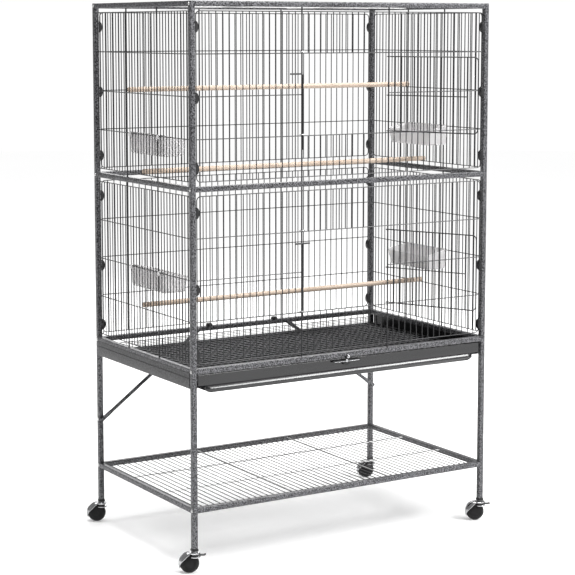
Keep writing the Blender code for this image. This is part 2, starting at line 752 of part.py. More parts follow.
def caster_housing_mesh():
    """Hood, cheek, axle, neck and stem. x trails from the stem, the axle lies along y."""
    hub_outline = [
        (-CHEEK_OUTER, AXLE * 0.6),
        (-CHEEK_OUTER, HOOD_OUTER),
        (WHEEL_HALF * 0.3, HOOD_OUTER),
        (WHEEL_HALF * 0.3, HOOD_INNER),
        (-CHEEK_INNER, HOOD_INNER),
        (-CHEEK_INNER, AXLE * 0.6),
    ]
    centre = (CASTER_TRAIL, 0, WHEEL_RADIUS)
    hood = turned_mesh("hood", hub_outline, math.radians(-30), math.radians(142), steps=12)
    neck = moved(round_bar_mesh("neck", NECK, WHEEL_RADIUS + NECK, LEG_FOOT_Z - FIT), (0, 0, 0))
    stem = round_bar_mesh("stem", STEM, LEG_FOOT_Z - WIRE, LEG_FOOT_Z + STEM_LENGTH, sides=10)
    inside = turned_mesh("inside", drum_outline(-CHEEK_INNER, 2 * CHEEK_INNER, HOOD_INNER), steps=28)
    axle = turned_mesh("axle", drum_outline(-CHEEK_OUTER, WHEEL_HALF * 0.4, AXLE), steps=10)
    for mesh in (hood, inside, axle):
        moved(mesh, centre)
    additions = [("UNION", stem), ("UNION", axle)]
    return combined("caster_housing", hood, ("UNION", neck), ("DIFFERENCE", inside), *additions)


def caster_wheel_mesh():
    r = WHEEL_RADIUS
    w = WHEEL_HALF
    outline = [
        (w * 0.6, 0),
        (w * 0.6, WHEEL_BORE),
        (-w, WHEEL_BORE),
        (-w, r * 0.60),
        (-w * 0.72, r * 0.86),
        (-w * 0.30, r * 0.985),
        (0, r),
        (w * 0.35, r * 0.97),
        (w * 0.78, r * 0.80),
        (w * 1.05, r * 0.50),
        (w * 1.15, 0),
    ]
    return turned_mesh("caster_wheel", outline, math.radians(-90), math.radians(270), steps=24)


def brake_mesh():
    """A small pedal, drawn out along -x from its pivot."""
    inner = BRAKE_HEEL
    outline = [(inner, -BRAKE_SHEET / 2), (inner, BRAKE_SHEET / 2), (-BRAKE_LENGTH * 0.7, BRAKE_SHEET / 2)]
    outline += [(-BRAKE_LENGTH + inner, BRAKE_SHEET * 1.6), (-BRAKE_LENGTH + inner, BRAKE_SHEET * 0.6)]
    outline += [(-BRAKE_LENGTH * 0.7, -BRAKE_SHEET / 2)]
    return moved(profile_mesh("brake", outline, -BRAKE_WIDTH / 2, BRAKE_WIDTH / 2), turn=FACING_FRONT)


def build_casters():
    housing = shaded_round(caster_housing_mesh())
    wheel = shaded_round(caster_wheel_mesh())
    brake = brake_mesh()
    for corner, (side_x, side_y) in CORNERS.items():
        place = (side_x * HALF_X, side_y * HALF_Y, 0)
        swivel = anchor(f"caster_axis_{corner}", place, (0, 0, math.radians(CASTER_YAW)), cage)
        piece(f"caster_housing_{corner}", housing, chrome, (0, 0, 0), parent=swivel)
        piece(f"caster_wheel_{corner}", wheel, black_plastic, (CASTER_TRAIL, 0, WHEEL_RADIUS), parent=swivel)
        if side_y < 0:
            pivot = (BRAKE_PIVOT_X, 0, BRAKE_PIVOT_Z)
            piece(f"caster_brake_{corner}", brake, black_plastic, pivot, parent=swivel)


dark_tube = finish("hammered_grey_tube", (0.10, 0.10, 0.105), 0.42, 0.6)
dark_sheet = finish("dark_grey_sheet", (0.05, 0.05, 0.055), 0.45, 0.5)
black_wire = finish("black_wire", (0.02, 0.02, 0.022), 0.40, 0.3)
black_plastic = finish("black_plastic", (0.015, 0.015, 0.016), 0.35, 0.0)
clear_plastic = finish("clear_plastic", (0.80, 0.82, 0.82), 0.20, 0.0)
pale_wood = finish("pale_wood", (0.70, 0.52, 0.33), 0.60, 0.0)
chrome = finish("chrome", (0.80, 0.80, 0.82), 0.12, 1.0)

cage = anchor("cage_centre", (0, CAGE_Y, 0))
build_legs_and_posts()
build_rails()
build_walls()
build_decks()
build_doors()
build_latches()
build_feeders()
build_perches()
build_base_sides()
build_grate()
build_turn_latch(build_tray())
build_braces()
build_casters()
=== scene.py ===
import json
import math

import bmesh
import bpy
from mathutils import Matrix, Vector


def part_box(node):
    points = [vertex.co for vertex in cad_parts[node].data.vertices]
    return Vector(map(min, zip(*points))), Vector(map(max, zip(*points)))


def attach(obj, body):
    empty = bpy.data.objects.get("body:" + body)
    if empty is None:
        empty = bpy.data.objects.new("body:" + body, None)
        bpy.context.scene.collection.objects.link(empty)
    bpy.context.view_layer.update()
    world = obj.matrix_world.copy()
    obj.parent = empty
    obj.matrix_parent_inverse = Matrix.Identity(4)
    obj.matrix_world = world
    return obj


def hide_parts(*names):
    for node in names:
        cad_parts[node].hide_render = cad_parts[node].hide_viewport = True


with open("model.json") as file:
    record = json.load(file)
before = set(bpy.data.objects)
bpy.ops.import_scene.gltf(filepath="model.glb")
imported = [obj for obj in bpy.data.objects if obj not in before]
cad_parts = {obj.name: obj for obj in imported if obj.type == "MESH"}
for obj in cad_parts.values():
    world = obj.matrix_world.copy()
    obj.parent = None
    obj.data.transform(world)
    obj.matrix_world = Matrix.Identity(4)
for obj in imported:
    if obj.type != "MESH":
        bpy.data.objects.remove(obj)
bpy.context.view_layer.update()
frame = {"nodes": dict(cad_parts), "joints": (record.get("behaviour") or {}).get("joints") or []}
print("frame loaded:", len(frame["nodes"]), "nodes")


def middleOf(node):
    low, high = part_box(node)
    return (low + high) / 2


def sizeOf(node):
    low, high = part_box(node)
    return high - low


# Places that every piece is worked out from
frontLeftPost = middleOf("corner_post_front_left")
backRightPost = middleOf("corner_post_back_right")
halfX = (backRightPost.x - frontLeftPost.x) / 2
halfY = (backRightPost.y - frontLeftPost.y) / 2
cageY = (backRightPost.y + frontLeftPost.y) / 2  # middle of the cage, front to back
tube = sizeOf("leg_front_left").x
railZ = {level: middleOf(level + "_rail_front").z for level in ("shelf", "base", "middle", "top")}
tier = railZ["middle"] - railZ["base"]
tierBase = {"lower": railZ["base"], "upper": railZ["middle"]}
corners = {"front_left": (-1, -1), "front_right": (1, -1), "back_left": (-1, 1), "back_right": (1, 1)}
sideNames = {-1: "left", 1: "right"}
jointAt = {joint["name"]: Vector(joint["pos_m"]) for joint in frame["joints"] if "pos_m" in joint}
jointRange = {joint["name"]: joint.get("range_deg") for joint in frame["joints"]}


def spot(x, y, z):
    return Vector((x, y + cageY, z))


def camel(words):
    first, *rest = words.split("_")
    return first + "".join(word.title() for word in rest)


# A socket that can be added and multiplied, in shader trees and geometry trees alike
class Link:
    def __init__(self, graph, socket):
        self.graph = graph
        self.socket = socket

    def maths(self, operation, *ends):
        return self.graph.add("ShaderNodeMath", {"operation": operation}, dict(enumerate(ends)))

    def __add__(self, other):
        return self.maths("ADD", self, other)

    def __sub__(self, other):
        return self.maths("SUBTRACT", self, other)

    def __rsub__(self, other):
        return self.maths("SUBTRACT", other, self)

    def __mul__(self, other):
        return self.maths("MULTIPLY", self, other)

    def __neg__(self):
        return self.maths("MULTIPLY", self, -1.0)

    def __lt__(self, other):
        return self.maths("LESS_THAN", self, other)

    def __gt__(self, other):
        return self.maths("GREATER_THAN", self, other)

    def size(self):
        return self.maths("ABSOLUTE", self)

    __radd__ = __add__
    __rmul__ = __mul__


class Graph:
    def __init__(self, tree):
        self.tree = tree

    # One node: its settings first, then values or links on its sockets; a list of links all go to one socket
    def add(self, kind, settings=None, values=None, take=0):
        node = self.tree.nodes.new(kind)
        for name, value in (settings or {}).items():
            if name == "stops":
                self.rampStops(node.color_ramp, value)
            else:
                setattr(node, name, value)
        for key, value in (values or {}).items():
            for end in value if isinstance(value, list) else [value]:
                if isinstance(end, Link):
                    self.tree.links.new(end.socket, node.inputs[key])
                else:
                    node.inputs[key].default_value = end
        return Link(self, node.outputs[take])

    def rampStops(self, ramp, stops):
        while len(ramp.elements) < len(stops):
            ramp.elements.new(1)
        for element, (place, shade) in zip(ramp.elements, stops):
            element.position = place
            element.color = shade if len(shade) == 4 else (*shade, 1)

    def vector(self, x=0.0, y=0.0, z=0.0):
        return self.add("ShaderNodeCombineXYZ", values={0: x, 1: y, 2: z})


# A material whose varying inputs all come from noise in object coordinates
class Finish(Graph):
    def __init__(self, name, constants):
        self.material = bpy.data.materials.new(name)
        self.material.use_nodes = True
        super().__init__(self.material.node_tree)
        self.shader = self.tree.nodes["Principled BSDF"]
        for socket, value in constants.items():
            self.shader.inputs[socket].default_value = value
        self.place = self.add("ShaderNodeTexCoord", take="Object")

    def noise(self, scale, detail=2.0, roughness=0.5, vector=None):
        values = {"Vector": vector or self.place, "Scale": scale, "Detail": detail, "Roughness": roughness}
        return self.add("ShaderNodeTexNoise", values=values)

    def stretched(self, scale):
        return self.add("ShaderNodeMapping", values={"Vector": self.place, "Scale": scale})

    def ramp(self, factor, stops):
        return self.add("ShaderNodeValToRGB", {"stops": stops}, {"Fac": factor})

    def bump(self, height, strength, distance):
        return self.add("ShaderNodeBump", values={"Height": height, "Strength": strength, "Distance": distance})

    def wear(self, **links):
        for socket, link in links.items():
            self.tree.links.new(link.socket, self.shader.inputs[socket.replace("_", " ")])
        return self.material


def hammeredCoat(name, look):
    coat = Finish(name, {"Metallic": 0.4, "Coat Weight": 0.3, "Coat Roughness": 0.1, "Specular IOR Level": 0.18})
    dimples = coat.add("ShaderNodeTexVoronoi", {"feature": "SMOOTH_F1"}, {"Vector": coat.place, "Scale": 330.0})
    flakes = coat.noise(520.0, 3.0)
    drift = coat.noise(9.0)
    speck = dimples * 0.8 + flakes * 0.75 + drift * 0.12
    stops = [(0.42, look["dark"]), (0.66, look["mid"]), (0.92, look["light"])]
    return coat.wear(
        Base_Color=coat.ramp(speck, stops),
        Roughness=flakes * 0.22 + drift * 0.1 + 0.26,
        Normal=coat.bump(dimples + flakes * 0.3, 0.55, 0.0006),
    )


# Coarse noise sets the tone and most of the roughness, fine noise the bump
def plainFinish(name, look):
    coat = Finish(name, look.get("constants", {}))
    coarse, fine = coat.noise(*look["coarse"]), coat.noise(*look["fine"])
    byCoarse, byFine, least = look["roughness"]
    tone, height = coarse, fine
    if "toneShares" in look:
        tone = coarse * look["toneShares"][0] + fine * look["toneShares"][1]
    if "bothInBump" in look:
        height = fine + coarse
    return coat.wear(
        Base_Color=coat.ramp(tone, look["stops"]),
        Roughness=coarse * byCoarse + fine * byFine + least,
        Normal=coat.bump(height, *look["bump"]),
    )


def trayPlastic():
    shell = Finish("trayPlastic", {"Coat Weight": 0.45, "Coat Roughness": 0.06, "Specular IOR Level": 0.3})
    drift = shell.noise(6.0, 3.0)
    grain = shell.noise(700.0, 2.0)
    ripple = shell.noise(1.0, 2.0, vector=shell.stretched((3.0, 40.0, 90.0)))
    return shell.wear(
        Base_Color=shell.ramp(drift, [(0.3, (0.005, 0.005, 0.006)), (0.75, (0.012, 0.012, 0.013))]),
        Roughness=drift * 0.14 + grain * 0.06 + 0.17,
        Normal=shell.bump(ripple + grain * 0.1, 0.12, 0.0012),
    )


def paleDowel():
    wood = Finish("paleDowel", {"Specular IOR Level": 0.3})
    grain = wood.noise(1.0, 6.0, 0.62, wood.stretched((7.0, 420.0, 420.0)))
    pores = wood.noise(1.0, 3.0, 0.7, wood.stretched((60.0, 1500.0, 1500.0)))
    drift = wood.noise(5.0, 2.0)
    tone = grain * 0.62 + pores * 0.26 + drift * 0.22
    stops = [(0.30, (0.27, 0.19, 0.14)), (0.52, (0.50, 0.40, 0.32)), (0.75, (0.70, 0.60, 0.51))]
    return wood.wear(
        Base_Color=wood.ramp(tone, stops),
        Roughness=0.72 - tone * 0.2,
        Normal=wood.bump(grain + pores * 0.6, 0.35, 0.0004),
    )


wireLook = {
    "constants": {"Metallic": 0.25, "Coat Weight": 0.2, "Coat Roughness": 0.25}, "coarse": (14.0,),
    "fine": (900.0, 2.0), "toneShares": (0.6, 0.4), "roughness": (0.12, 0.18, 0.24), "bump": (0.2, 0.0002),
    "stops": [(0.3, (0.006, 0.006, 0.007)), (0.7, (0.016, 0.016, 0.018))],
}
meshLook = wireLook | {
    "constants": wireLook["constants"] | {"Metallic": 0.55},
    "stops": [(0.3, (0.018, 0.018, 0.019)), (0.7, (0.05, 0.05, 0.053))],
}
panLook = {
    "constants": {"IOR": 1.06}, "coarse": (5.0, 3.0), "fine": (900.0, 2.0),
    "roughness": (0.2, 0.1, 0.45), "bump": (0.2, 0.0002),
    "stops": [(0.3, (0.004, 0.004, 0.004)), (0.75, (0.011, 0.011, 0.012))],
}
nylonLook = {
    "constants": {"Specular IOR Level": 0.4}, "coarse": (30.0,), "fine": (1200.0, 2.0),
    "roughness": (0.2, 0.12, 0.28), "bump": (0.25, 0.0002),
    "stops": [(0.3, (0.004, 0.004, 0.005)), (0.7, (0.010, 0.010, 0.011))],
}
wheelLook = {
    "constants": {"Specular IOR Level": 0.2}, "coarse": (60.0, 4.0, 0.7), "fine": (800.0, 3.0),
    "bothInBump": True, "roughness": (0.35, 0.1, 0.18), "bump": (0.2, 0.0003),
    "stops": [(0.35, (0.004, 0.004, 0.004)), (0.7, (0.013, 0.013, 0.014))],
}
chromeLook = {
    "constants": {"Metallic": 1.0}, "coarse": (40.0, 3.0), "fine": (1400.0, 1.0),
    "roughness": (0.16, 0.04, 0.10), "bump": (0.05, 0.0001),
    "stops": [(0.2, (0.34, 0.345, 0.355)), (0.8, (0.56, 0.56, 0.57))],
}
steelLook = {
    "constants": {"Metallic": 1.0}, "coarse": (200.0, 3.0), "fine": (200.0, 3.0),
    "roughness": (0.25, 0.0, 0.16), "bump": (0.1, 0.0002),
    "stops": [(0.2, (0.42, 0.42, 0.43)), (0.8, (0.68, 0.68, 0.67))],
}
clearLook = {
    "constants": {"IOR": 1.40, "Transmission Weight": 0.45}, "coarse": (22.0, 2.0), "fine": (9.0,),
    "roughness": (0.14, 0.0, 0.16), "bump": (0.05, 0.001),
    "stops": [(0.3, (0.83, 0.82, 0.825)), (0.8, (0.93, 0.92, 0.925))],
}
tubeLook = {"dark": (0.006, 0.006, 0.007), "mid": (0.021, 0.021, 0.023), "light": (0.17, 0.17, 0.18)}
sheetLook = {"dark": (0.005, 0.005, 0.006), "mid": (0.010, 0.010, 0.011), "light": (0.045, 0.045, 0.048)}

finishes = {
    "tube": hammeredCoat("hammeredCoat", tubeLook),
    "sheet": hammeredCoat("hammeredSheet", sheetLook),
    "wire": plainFinish("blackWire", wireLook),
    "mesh": plainFinish("blackMesh", meshLook),
    "tray": trayPlastic(),
    "pan": plainFinish("panPlastic", panLook),
    "nylon": plainFinish("blackNylon", nylonLook),
    "wheel": plainFinish("wheelBlack", wheelLook),
    "chrome": plainFinish("chromePlate", chromeLook),
    "steel": plainFinish("zincSteel", steelLook),
    "clear": plainFinish("clearPlastic", clearLook),
    "wood": paleDowel(),
}
print("materials made:", len(finishes))


socketKinds = {int: "NodeSocketInt", float: "NodeSocketFloat"}


def newTree(name, sizes, objects=()):
    tree = bpy.data.node_groups.new(name, "GeometryNodeTree")
    tree.interface.new_socket("Geometry", in_out="INPUT", socket_type="NodeSocketGeometry")
    tree.interface.new_socket("Geometry", in_out="OUTPUT", socket_type="NodeSocketGeometry")
    for label, value in sizes.items():
        socket = tree.interface.new_socket(label, in_out="INPUT", socket_type=socketKinds[type(value)])
        socket.default_value = value
    for label in objects:
        tree.interface.new_socket(label, in_out="INPUT", socket_type="NodeSocketObject")
    tree.interface.new_socket("Finish", in_out="INPUT", socket_type="NodeSocketMaterial")
    graph = Graph(tree)
    source = tree.nodes.new("NodeGroupInput")
    inputs = {socket.name: Link(graph, socket) for socket in source.outputs if socket.name}
    return graph, inputs


def closeTree(graph, shapes, finish):
    joined = graph.add("GeometryNodeJoinGeometry", values={"Geometry": shapes})
    real = graph.add("GeometryNodeRealizeInstances", values={"Geometry": joined})
    painted = graph.add("GeometryNodeSetMaterial", values={"Geometry": real, "Material": finish})
    end = graph.tree.nodes.new("NodeGroupOutput")
    graph.tree.links.new(painted.socket, end.inputs["Geometry"])
    return graph.tree


def linked(name, data):
    thing = bpy.data.objects.new(name, data)
    bpy.context.scene.collection.objects.link(thing)
    return thing


# Runs a tree on a mesh, or on nothing, and keeps what comes out as a plain mesh
def grown(name, tree, values, base=None):
    thing = linked(name, base or bpy.data.meshes.new(name))
    modifier = thing.modifiers.new(name, "NODES")
    modifier.node_group = tree
    for item in tree.interface.items_tree:
        if item.in_out == "INPUT" and item.name in values:
            modifier[item.identifier] = values[item.name]
    graph = bpy.context.evaluated_depsgraph_get()
    mesh = bpy.data.meshes.new_from_object(thing.evaluated_get(graph))
    thing.modifiers.clear()
    thing.data = mesh
    mesh.name = name
    smoothed(mesh)
    return thing


def smoothed(mesh, angle=35):
    mesh.shade_smooth()
    mesh.set_sharp_from_angle(angle=math.radians(angle))
    return mesh


def settle(thing, body, slot, *nodes):
    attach(thing, body)
    if nodes:
        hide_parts(*nodes)
    return thing


def barOf(graph, start, end, radius, sides=8):
    line = graph.add("GeometryNodeCurvePrimitiveLine", values={"Start": start, "End": end})
    ring = graph.add("GeometryNodeCurvePrimitiveCircle", values={"Resolution": sides, "Radius": radius})
    return graph.add("GeometryNodeCurveToMesh", values={"Curve": line, "Profile Curve": ring, "Fill Caps": True})


def rowOf(graph, count, start, step, bar, dropped=None):
    points = graph.add("GeometryNodeMeshLine", values={"Count": count, "Start Location": start, "Offset": step})
    if dropped:
        points = graph.add("GeometryNodeDeleteGeometry", values={"Geometry": points, "Selection": dropped})
    return graph.add("GeometryNodeInstanceOnPoints", values={"Points": points, "Instance": bar})


def roundedSquare(graph, width, height, count, radius):
    square = graph.add("GeometryNodeCurvePrimitiveQuadrilateral", values={"Width": width, "Height": height})
    values = {"Curve": square, "Count": count, "Radius": radius}
    return graph.add("GeometryNodeFilletCurve", {"mode": "POLY"}, values)


# A framed panel of round wires, drawn lying: x across, y up, z out of the cage
def wirePanelTree():
    sizes = {
        "Half Width": 0.4, "Half Height": 0.19, "Wires": 45, "Wire Pitch": 0.0177, "Wire": 0.0012,
        "Crosswires": 3, "Cross Pitch": 0.097, "Cross": 0.0012, "Layer": 0.0006,
        "Frame": 0.0012, "Corner": 0.01, "Rods": 2, "Rod Place": 0.124, "Rod Reach": 0.2, "Rod": 0.0018,
        "Door Half": 0.0, "Door Top": 0.0, "Door Bottom": 0.0,
    }
    graph, give = newTree("wirePanel", sizes)
    width, height, pitch, layer = give["Half Width"], give["Half Height"], give["Wire Pitch"], give["Layer"]
    door, top, bottom = give["Door Half"], give["Door Top"], give["Door Bottom"]
    where = graph.add("GeometryNodeInputPosition")
    across = graph.add("ShaderNodeSeparateXYZ", values={0: where}, take="X")
    upwards = graph.add("ShaderNodeSeparateXYZ", values={0: where}, take="Y")

    def upright(low, high, radius, sides=8):
        return barOf(graph, graph.vector(0.0, low), graph.vector(0.0, high), radius, sides)

    def level(left, right):
        return barOf(graph, graph.vector(left), graph.vector(right), give["Cross"])

    # Upright wires: whole ones beside the doorway, short ones over and under it
    byRod = ((across.size() - give["Rod Place"]).size() < pitch * 0.3) * (give["Rods"] > 0.5)
    inDoor = across.size() < door - pitch * 0.3
    beside = 1.0 - inDoor > 0.5
    start = graph.vector((give["Wires"] - 1.0) * pitch * -0.5, 0.0, -layer)
    bars = [
        (upright(-height, height, give["Wire"]), byRod + inDoor > 0.5),
        (upright(top, height, give["Wire"]), beside),
        (upright(-height, bottom, give["Wire"]), beside),
    ]
    shapes = [rowOf(graph, give["Wires"], start, graph.vector(pitch), bar, dropped) for bar, dropped in bars]

    # Crosswires, cut where the doorway is
    between = (upwards > bottom + 0.002) * (upwards < top - 0.002) * (door > 0.001)
    outside = 1.0 - between > 0.5
    first = graph.vector(0.0, (give["Crosswires"] - 1.0) * give["Cross Pitch"] * -0.5, layer)
    rise = graph.vector(0.0, give["Cross Pitch"])
    bars = [(level(-width, width), between), (level(door, width), outside), (level(-width, -door), outside)]
    shapes += [rowOf(graph, give["Crosswires"], first, rise, bar, dropped) for bar, dropped in bars]

    # The bent frame wire and the long rods
    bent = roundedSquare(graph, width * 2, height * 2, 5, give["Corner"])
    ring = graph.add("GeometryNodeCurvePrimitiveCircle", values={"Resolution": 8, "Radius": give["Frame"]})
    shapes.append(graph.add("GeometryNodeCurveToMesh", values={"Curve": bent, "Profile Curve": ring}))
    rod = upright(-give["Rod Reach"], give["Rod Reach"], give["Rod"], 10)
    apart = graph.vector(give["Rod Place"] * 2)
    shapes.append(rowOf(graph, give["Rods"], graph.vector(-give["Rod Place"]), apart, rod))
    return closeTree(graph, shapes, give["Finish"])


# Square tube with rounded edges along every edge of a mesh
def squareTubeTree():
    graph, give = newTree("squareTube", {"Side": 0.0127, "Edge": 0.0016})
    lines = graph.add("GeometryNodeMeshToCurve", values={"Mesh": give["Geometry"]})
    rounded = roundedSquare(graph, give["Side"], give["Side"], 4, give["Edge"])
    values = {"Curve": lines, "Profile Curve": rounded, "Fill Caps": True}
    walls = graph.add("GeometryNodeCurveToMesh", values=values)
    return closeTree(graph, [walls], give["Finish"])


# A small fitting at every point of a mesh
def fittingsTree():
    graph, give = newTree("fittings", {}, ["Fitting"])
    fitting = graph.add("GeometryNodeObjectInfo", values={"Object": give["Fitting"]}, take="Geometry")
    placed = graph.add("GeometryNodeInstanceOnPoints", values={"Points": give["Geometry"], "Instance": fitting})
    return closeTree(graph, [placed], give["Finish"])


panelTree = wirePanelTree()
tubeTree = squareTubeTree()
fittingTree = fittingsTree()

# Rounds the corners of a path with short arcs
def softened(points, radius, closed=False, steps=4):
    points = [Vector(point) for point in points]
    path = []
    for i, corner in enumerate(points):
        if not closed and i in (0, len(points) - 1):
            path.append(corner)
            continue
        before, after = points[i - 1], points[(i + 1) % len(points)]
        reach = min(radius, (before - corner).length * 0.49, (after - corner).length * 0.49)
        start = corner + (before - corner).normalized() * reach
        end = corner + (after - corner).normalized() * reach
        for k in range(steps + 1):
            t = k / steps
            path.append(start * (1 - t) ** 2 + corner * 2 * t * (1 - t) + end * t ** 2)
    return path


# Stands a lying drawing up, so that its z points outwards and its y points up
def standing(outward):
    up, out = Vector((0, 0, 1)), Vector(outward)
    return Matrix((up.cross(out), up, out)).transposed().to_4x4()


toFront = standing((0, -1, 0))


class Shape:
    def __init__(self):
        self.mesh = bmesh.new()

    def skin(self, rings, matrix=Matrix.Identity(4), joined=False, capped=True, round=True):
        rows = [[self.mesh.verts.new(matrix @ Vector(point)) for point in ring] for ring in rings]
        spans = list(zip(rows, rows[1:] + rows[:1])) if joined else list(zip(rows, rows[1:]))
        count = len(rows[0])
        for low, high in spans:
            for i in range(count if round else count - 1):
                j = (i + 1) % count
                self.mesh.faces.new((low[i], low[j], high[j], high[i]))
        if capped and not joined:
            self.mesh.faces.new(rows[0][::-1])
            self.mesh.faces.new(rows[-1])

    # A round bar along a path
    def wire(self, path, radius, matrix=Matrix.Identity(4), sides=8):
        path = [Vector(point) for point in path]
        last = len(path) - 1
        rings = []
        normal = None
        for i, point in enumerate(path):
            along = (path[min(i + 1, last)] - path[max(i - 1, 0)]).normalized()
            if normal is None:
                normal = along.orthogonal().normalized()
            normal = (normal - along * normal.dot(along)).normalized()
            beside = along.cross(normal)
            turns = [math.tau * k / sides for k in range(sides)]
            rings.append([point + (normal * math.cos(t) + beside * math.sin(t)) * radius for t in turns])
        self.skin(rings, matrix)

    # An outline of (along the axis, radius) turned about z, all the way or part of it
    def turned(self, outline, matrix=Matrix.Identity(4), steps=24, start=0.0, end=None):
        whole = end is None
        span = math.tau if whole else end - start
        rings = []
        for k in range(steps if whole else steps + 1):
            t = start + span * k / steps
            rings.append([(r * math.cos(t), r * math.sin(t), z) for z, r in outline])
        self.skin(rings, matrix, joined=whole, round=not whole)
        if whole:
            bmesh.ops.remove_doubles(self.mesh, verts=self.mesh.verts, dist=0.00001)

    # A flat outline in x and y, from low to high in z, with its rims drawn in
    def plate(self, outline, low, high, rim=0.0, matrix=Matrix.Identity(4)):
        middle = sum((Vector(point) for point in outline), Vector((0, 0))) / len(outline)
        levels = [(rim, low), (0.0, low + rim), (0.0, high - rim), (rim, high)] if rim else [(0, low), (0, high)]
        rings = []
        for inset, z in levels:
            rings.append([(*(Vector(p) - (Vector(p) - middle).normalized() * inset), z) for p in outline])
        self.skin(rings, matrix)

    def finish(self, name, finish, angle=35):
        bmesh.ops.recalc_face_normals(self.mesh, faces=self.mesh.faces)
        mesh = bpy.data.meshes.new(name)
        self.mesh.to_mesh(mesh)
        self.mesh.free()
        mesh.materials.append(finish)
        smoothed(mesh, angle)
        return linked(name, mesh)


# The same fitting at every point
def scattered(name, seed, finish, points, slot):
    values = {"Fitting": seed, "Finish": finish}
    settle(grown(name, fittingTree, values, pointsMesh(name, points)), "root", slot)
    bpy.data.objects.remove(seed, do_unlink=True)


def pointsMesh(name, points, edges=()):
    mesh = bpy.data.meshes.new(name)
    mesh.from_pydata([tuple(point) for point in points], edges, [])
    return mesh


# Square tubes, one piece for each kind of leg, post or rail
frameTube = {"side": tube, "edge": 0.0017}
frameCaps = {"lip": 0.0012, "edge": 0.0005, "round": 0.0021}


def kindOf(node):
    return node.split("_")[0]


# A tube between each pair of points
def squareTubes(name, points):
    values = {"Side": frameTube["side"], "Edge": frameTube["edge"], "Finish": finishes["tube"]}
    pairs = [(first, first + 1) for first in range(0, len(points), 2)]
    return grown(name, tubeTree, values, pointsMesh(name, points, pairs))


def makeFrameTubes():
    names = {"leg": "legTubes", "corner": "cornerPosts", "shelf": "shelfRails", "base": "baseRails",
             "middle": "middleRails", "top": "topRails"}
    for kind, name in names.items():
        whole = kind in ("leg", "corner")
        nodes = [node for node in frame["nodes"] if kindOf(node) == kind and (whole or "_rail_" in node)]
        points = []
        for node in nodes:
            low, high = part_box(node)
            middle, half = (low + high) / 2, (high - low) / 2
            axis = max(range(3), key=lambda i: half[i])
            reach = Vector((0, 0, 0))
            reach[axis] = half[axis] - (frameCaps["lip"] / 2 if kind == "corner" else 0)
            points += [middle - reach, middle + reach]
        settle(squareTubes(name, points), "root", "hammered_tube", *nodes)


def squareOutline(half, corner, steps=4):
    square = [(-half, -half), (half, -half), (half, half), (-half, half)]
    return [point.to_2d() for point in softened([(*p, 0) for p in square], corner, closed=True, steps=steps)]


def makePostCaps():
    caps = Shape()
    outline = squareOutline(tube / 2, frameCaps["round"])
    for sideX, sideY in corners.values():
        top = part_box("corner_post_front_left")[1].z
        at = Matrix.Translation(spot(sideX * halfX, sideY * halfY, top))
        caps.plate(outline, -frameCaps["lip"], 0, frameCaps["edge"], at)
    settle(caps.finish("postCaps", finishes["nylon"]), "root", "brake_black")


makeFrameTubes()
makePostCaps()
print("frame tubes made")

# Wire walls, the shelf deck and the roof
wall = {
    "pitchX": 0.0177, "pitchY": 0.01458, "countX": 45, "countY": 32, "rodSteps": 5.5,
    "edgeGap": 0.0035, "railGap": 0.0165, "crosswires": 3,
    "wire": 0.0012, "rod": 0.0018, "layer": 0.0006, "corner": 0.010,
}
crossPitch = (tier - 2 * wall["railGap"]) / (wall["crosswires"] + 1)
rodPlaceX = jointAt["upper_door_hinge"].x
rodPlaceY = wall["pitchY"] * wall["rodSteps"]


def makeWall(level, side):
    outward = {"front": (0, -1, 0), "back": (0, 1, 0), "left": (-1, 0, 0), "right": (1, 0, 0)}[side]
    broad = side in ("front", "back")
    half = (halfX if broad else halfY) - tube / 2 - wall["edgeGap"] - wall["wire"]
    pitch = wall["pitchX"] if broad else wall["pitchY"]
    rodPlace = rodPlaceX if broad else rodPlaceY
    values = {
        "Half Width": half, "Half Height": tier / 2 - wall["railGap"],
        "Wires": wall["countX" if broad else "countY"], "Wire Pitch": pitch,
        "Wire": wall["wire"], "Crosswires": wall["crosswires"], "Cross Pitch": crossPitch, "Cross": wall["wire"],
        "Layer": wall["layer"], "Frame": wall["wire"], "Corner": wall["corner"], "Rods": 2, "Rod Place": rodPlace,
        "Rod Reach": tier / 2 - tube / 2 + 0.0005, "Rod": wall["rod"], "Finish": finishes["wire"],
    }
    if side == "front":
        values.update({"Door Half": rodPlace, "Door Top": crossPitch, "Door Bottom": -crossPitch})
    name = f"{level}{side.title()}Wires"
    wires = grown(name, panelTree, values)
    centre = spot(outward[0] * halfX, outward[1] * halfY, tierBase[level] + tier / 2)
    wires.data.transform(Matrix.Translation(centre) @ standing(outward))
    settle(wires, "root", "black_wire", f"{level}_panel_{side}")


deck = {"wires": 51, "roofWires": 47, "roofLift": 0.0008, "wire": 0.0011, "rod": 0.0018, "sideGap": 0.0022}


def makeDeck(name, node, count, height):
    low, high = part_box(node)
    rod = deck["rod"]
    half = halfX - tube / 2 - deck["sideGap"]
    reach = (high.y - low.y) / 2
    pitch = 2 * half / (count - 1)
    values = {
        "Half Width": half, "Half Height": reach, "Wires": count - 2, "Wire Pitch": pitch, "Wire": deck["wire"],
        "Crosswires": 0, "Layer": 0.0, "Frame": deck["wire"], "Corner": 0.003, "Rods": 0,
        "Finish": finishes["wire"],
    }
    wires = grown(name, panelTree, values)
    wires.data.transform(Matrix.Translation(spot(0, 0, height)))
    rods = Shape()
    below = height - deck["wire"] - rod + 0.0004
    for sign in (-1, 1):
        x, y = sign * halfX / 3, sign * halfY / 3
        rods.wire([spot(-half - 0.002, y, below), spot(half + 0.002, y, below)], rod, sides=10)
        rods.wire([spot(x, -reach, below), spot(x, reach, below)], rod, sides=10)
    joinInto(wires, rods.finish(name + "Rods", finishes["wire"]))
    settle(wires, "root", "black_wire", node)


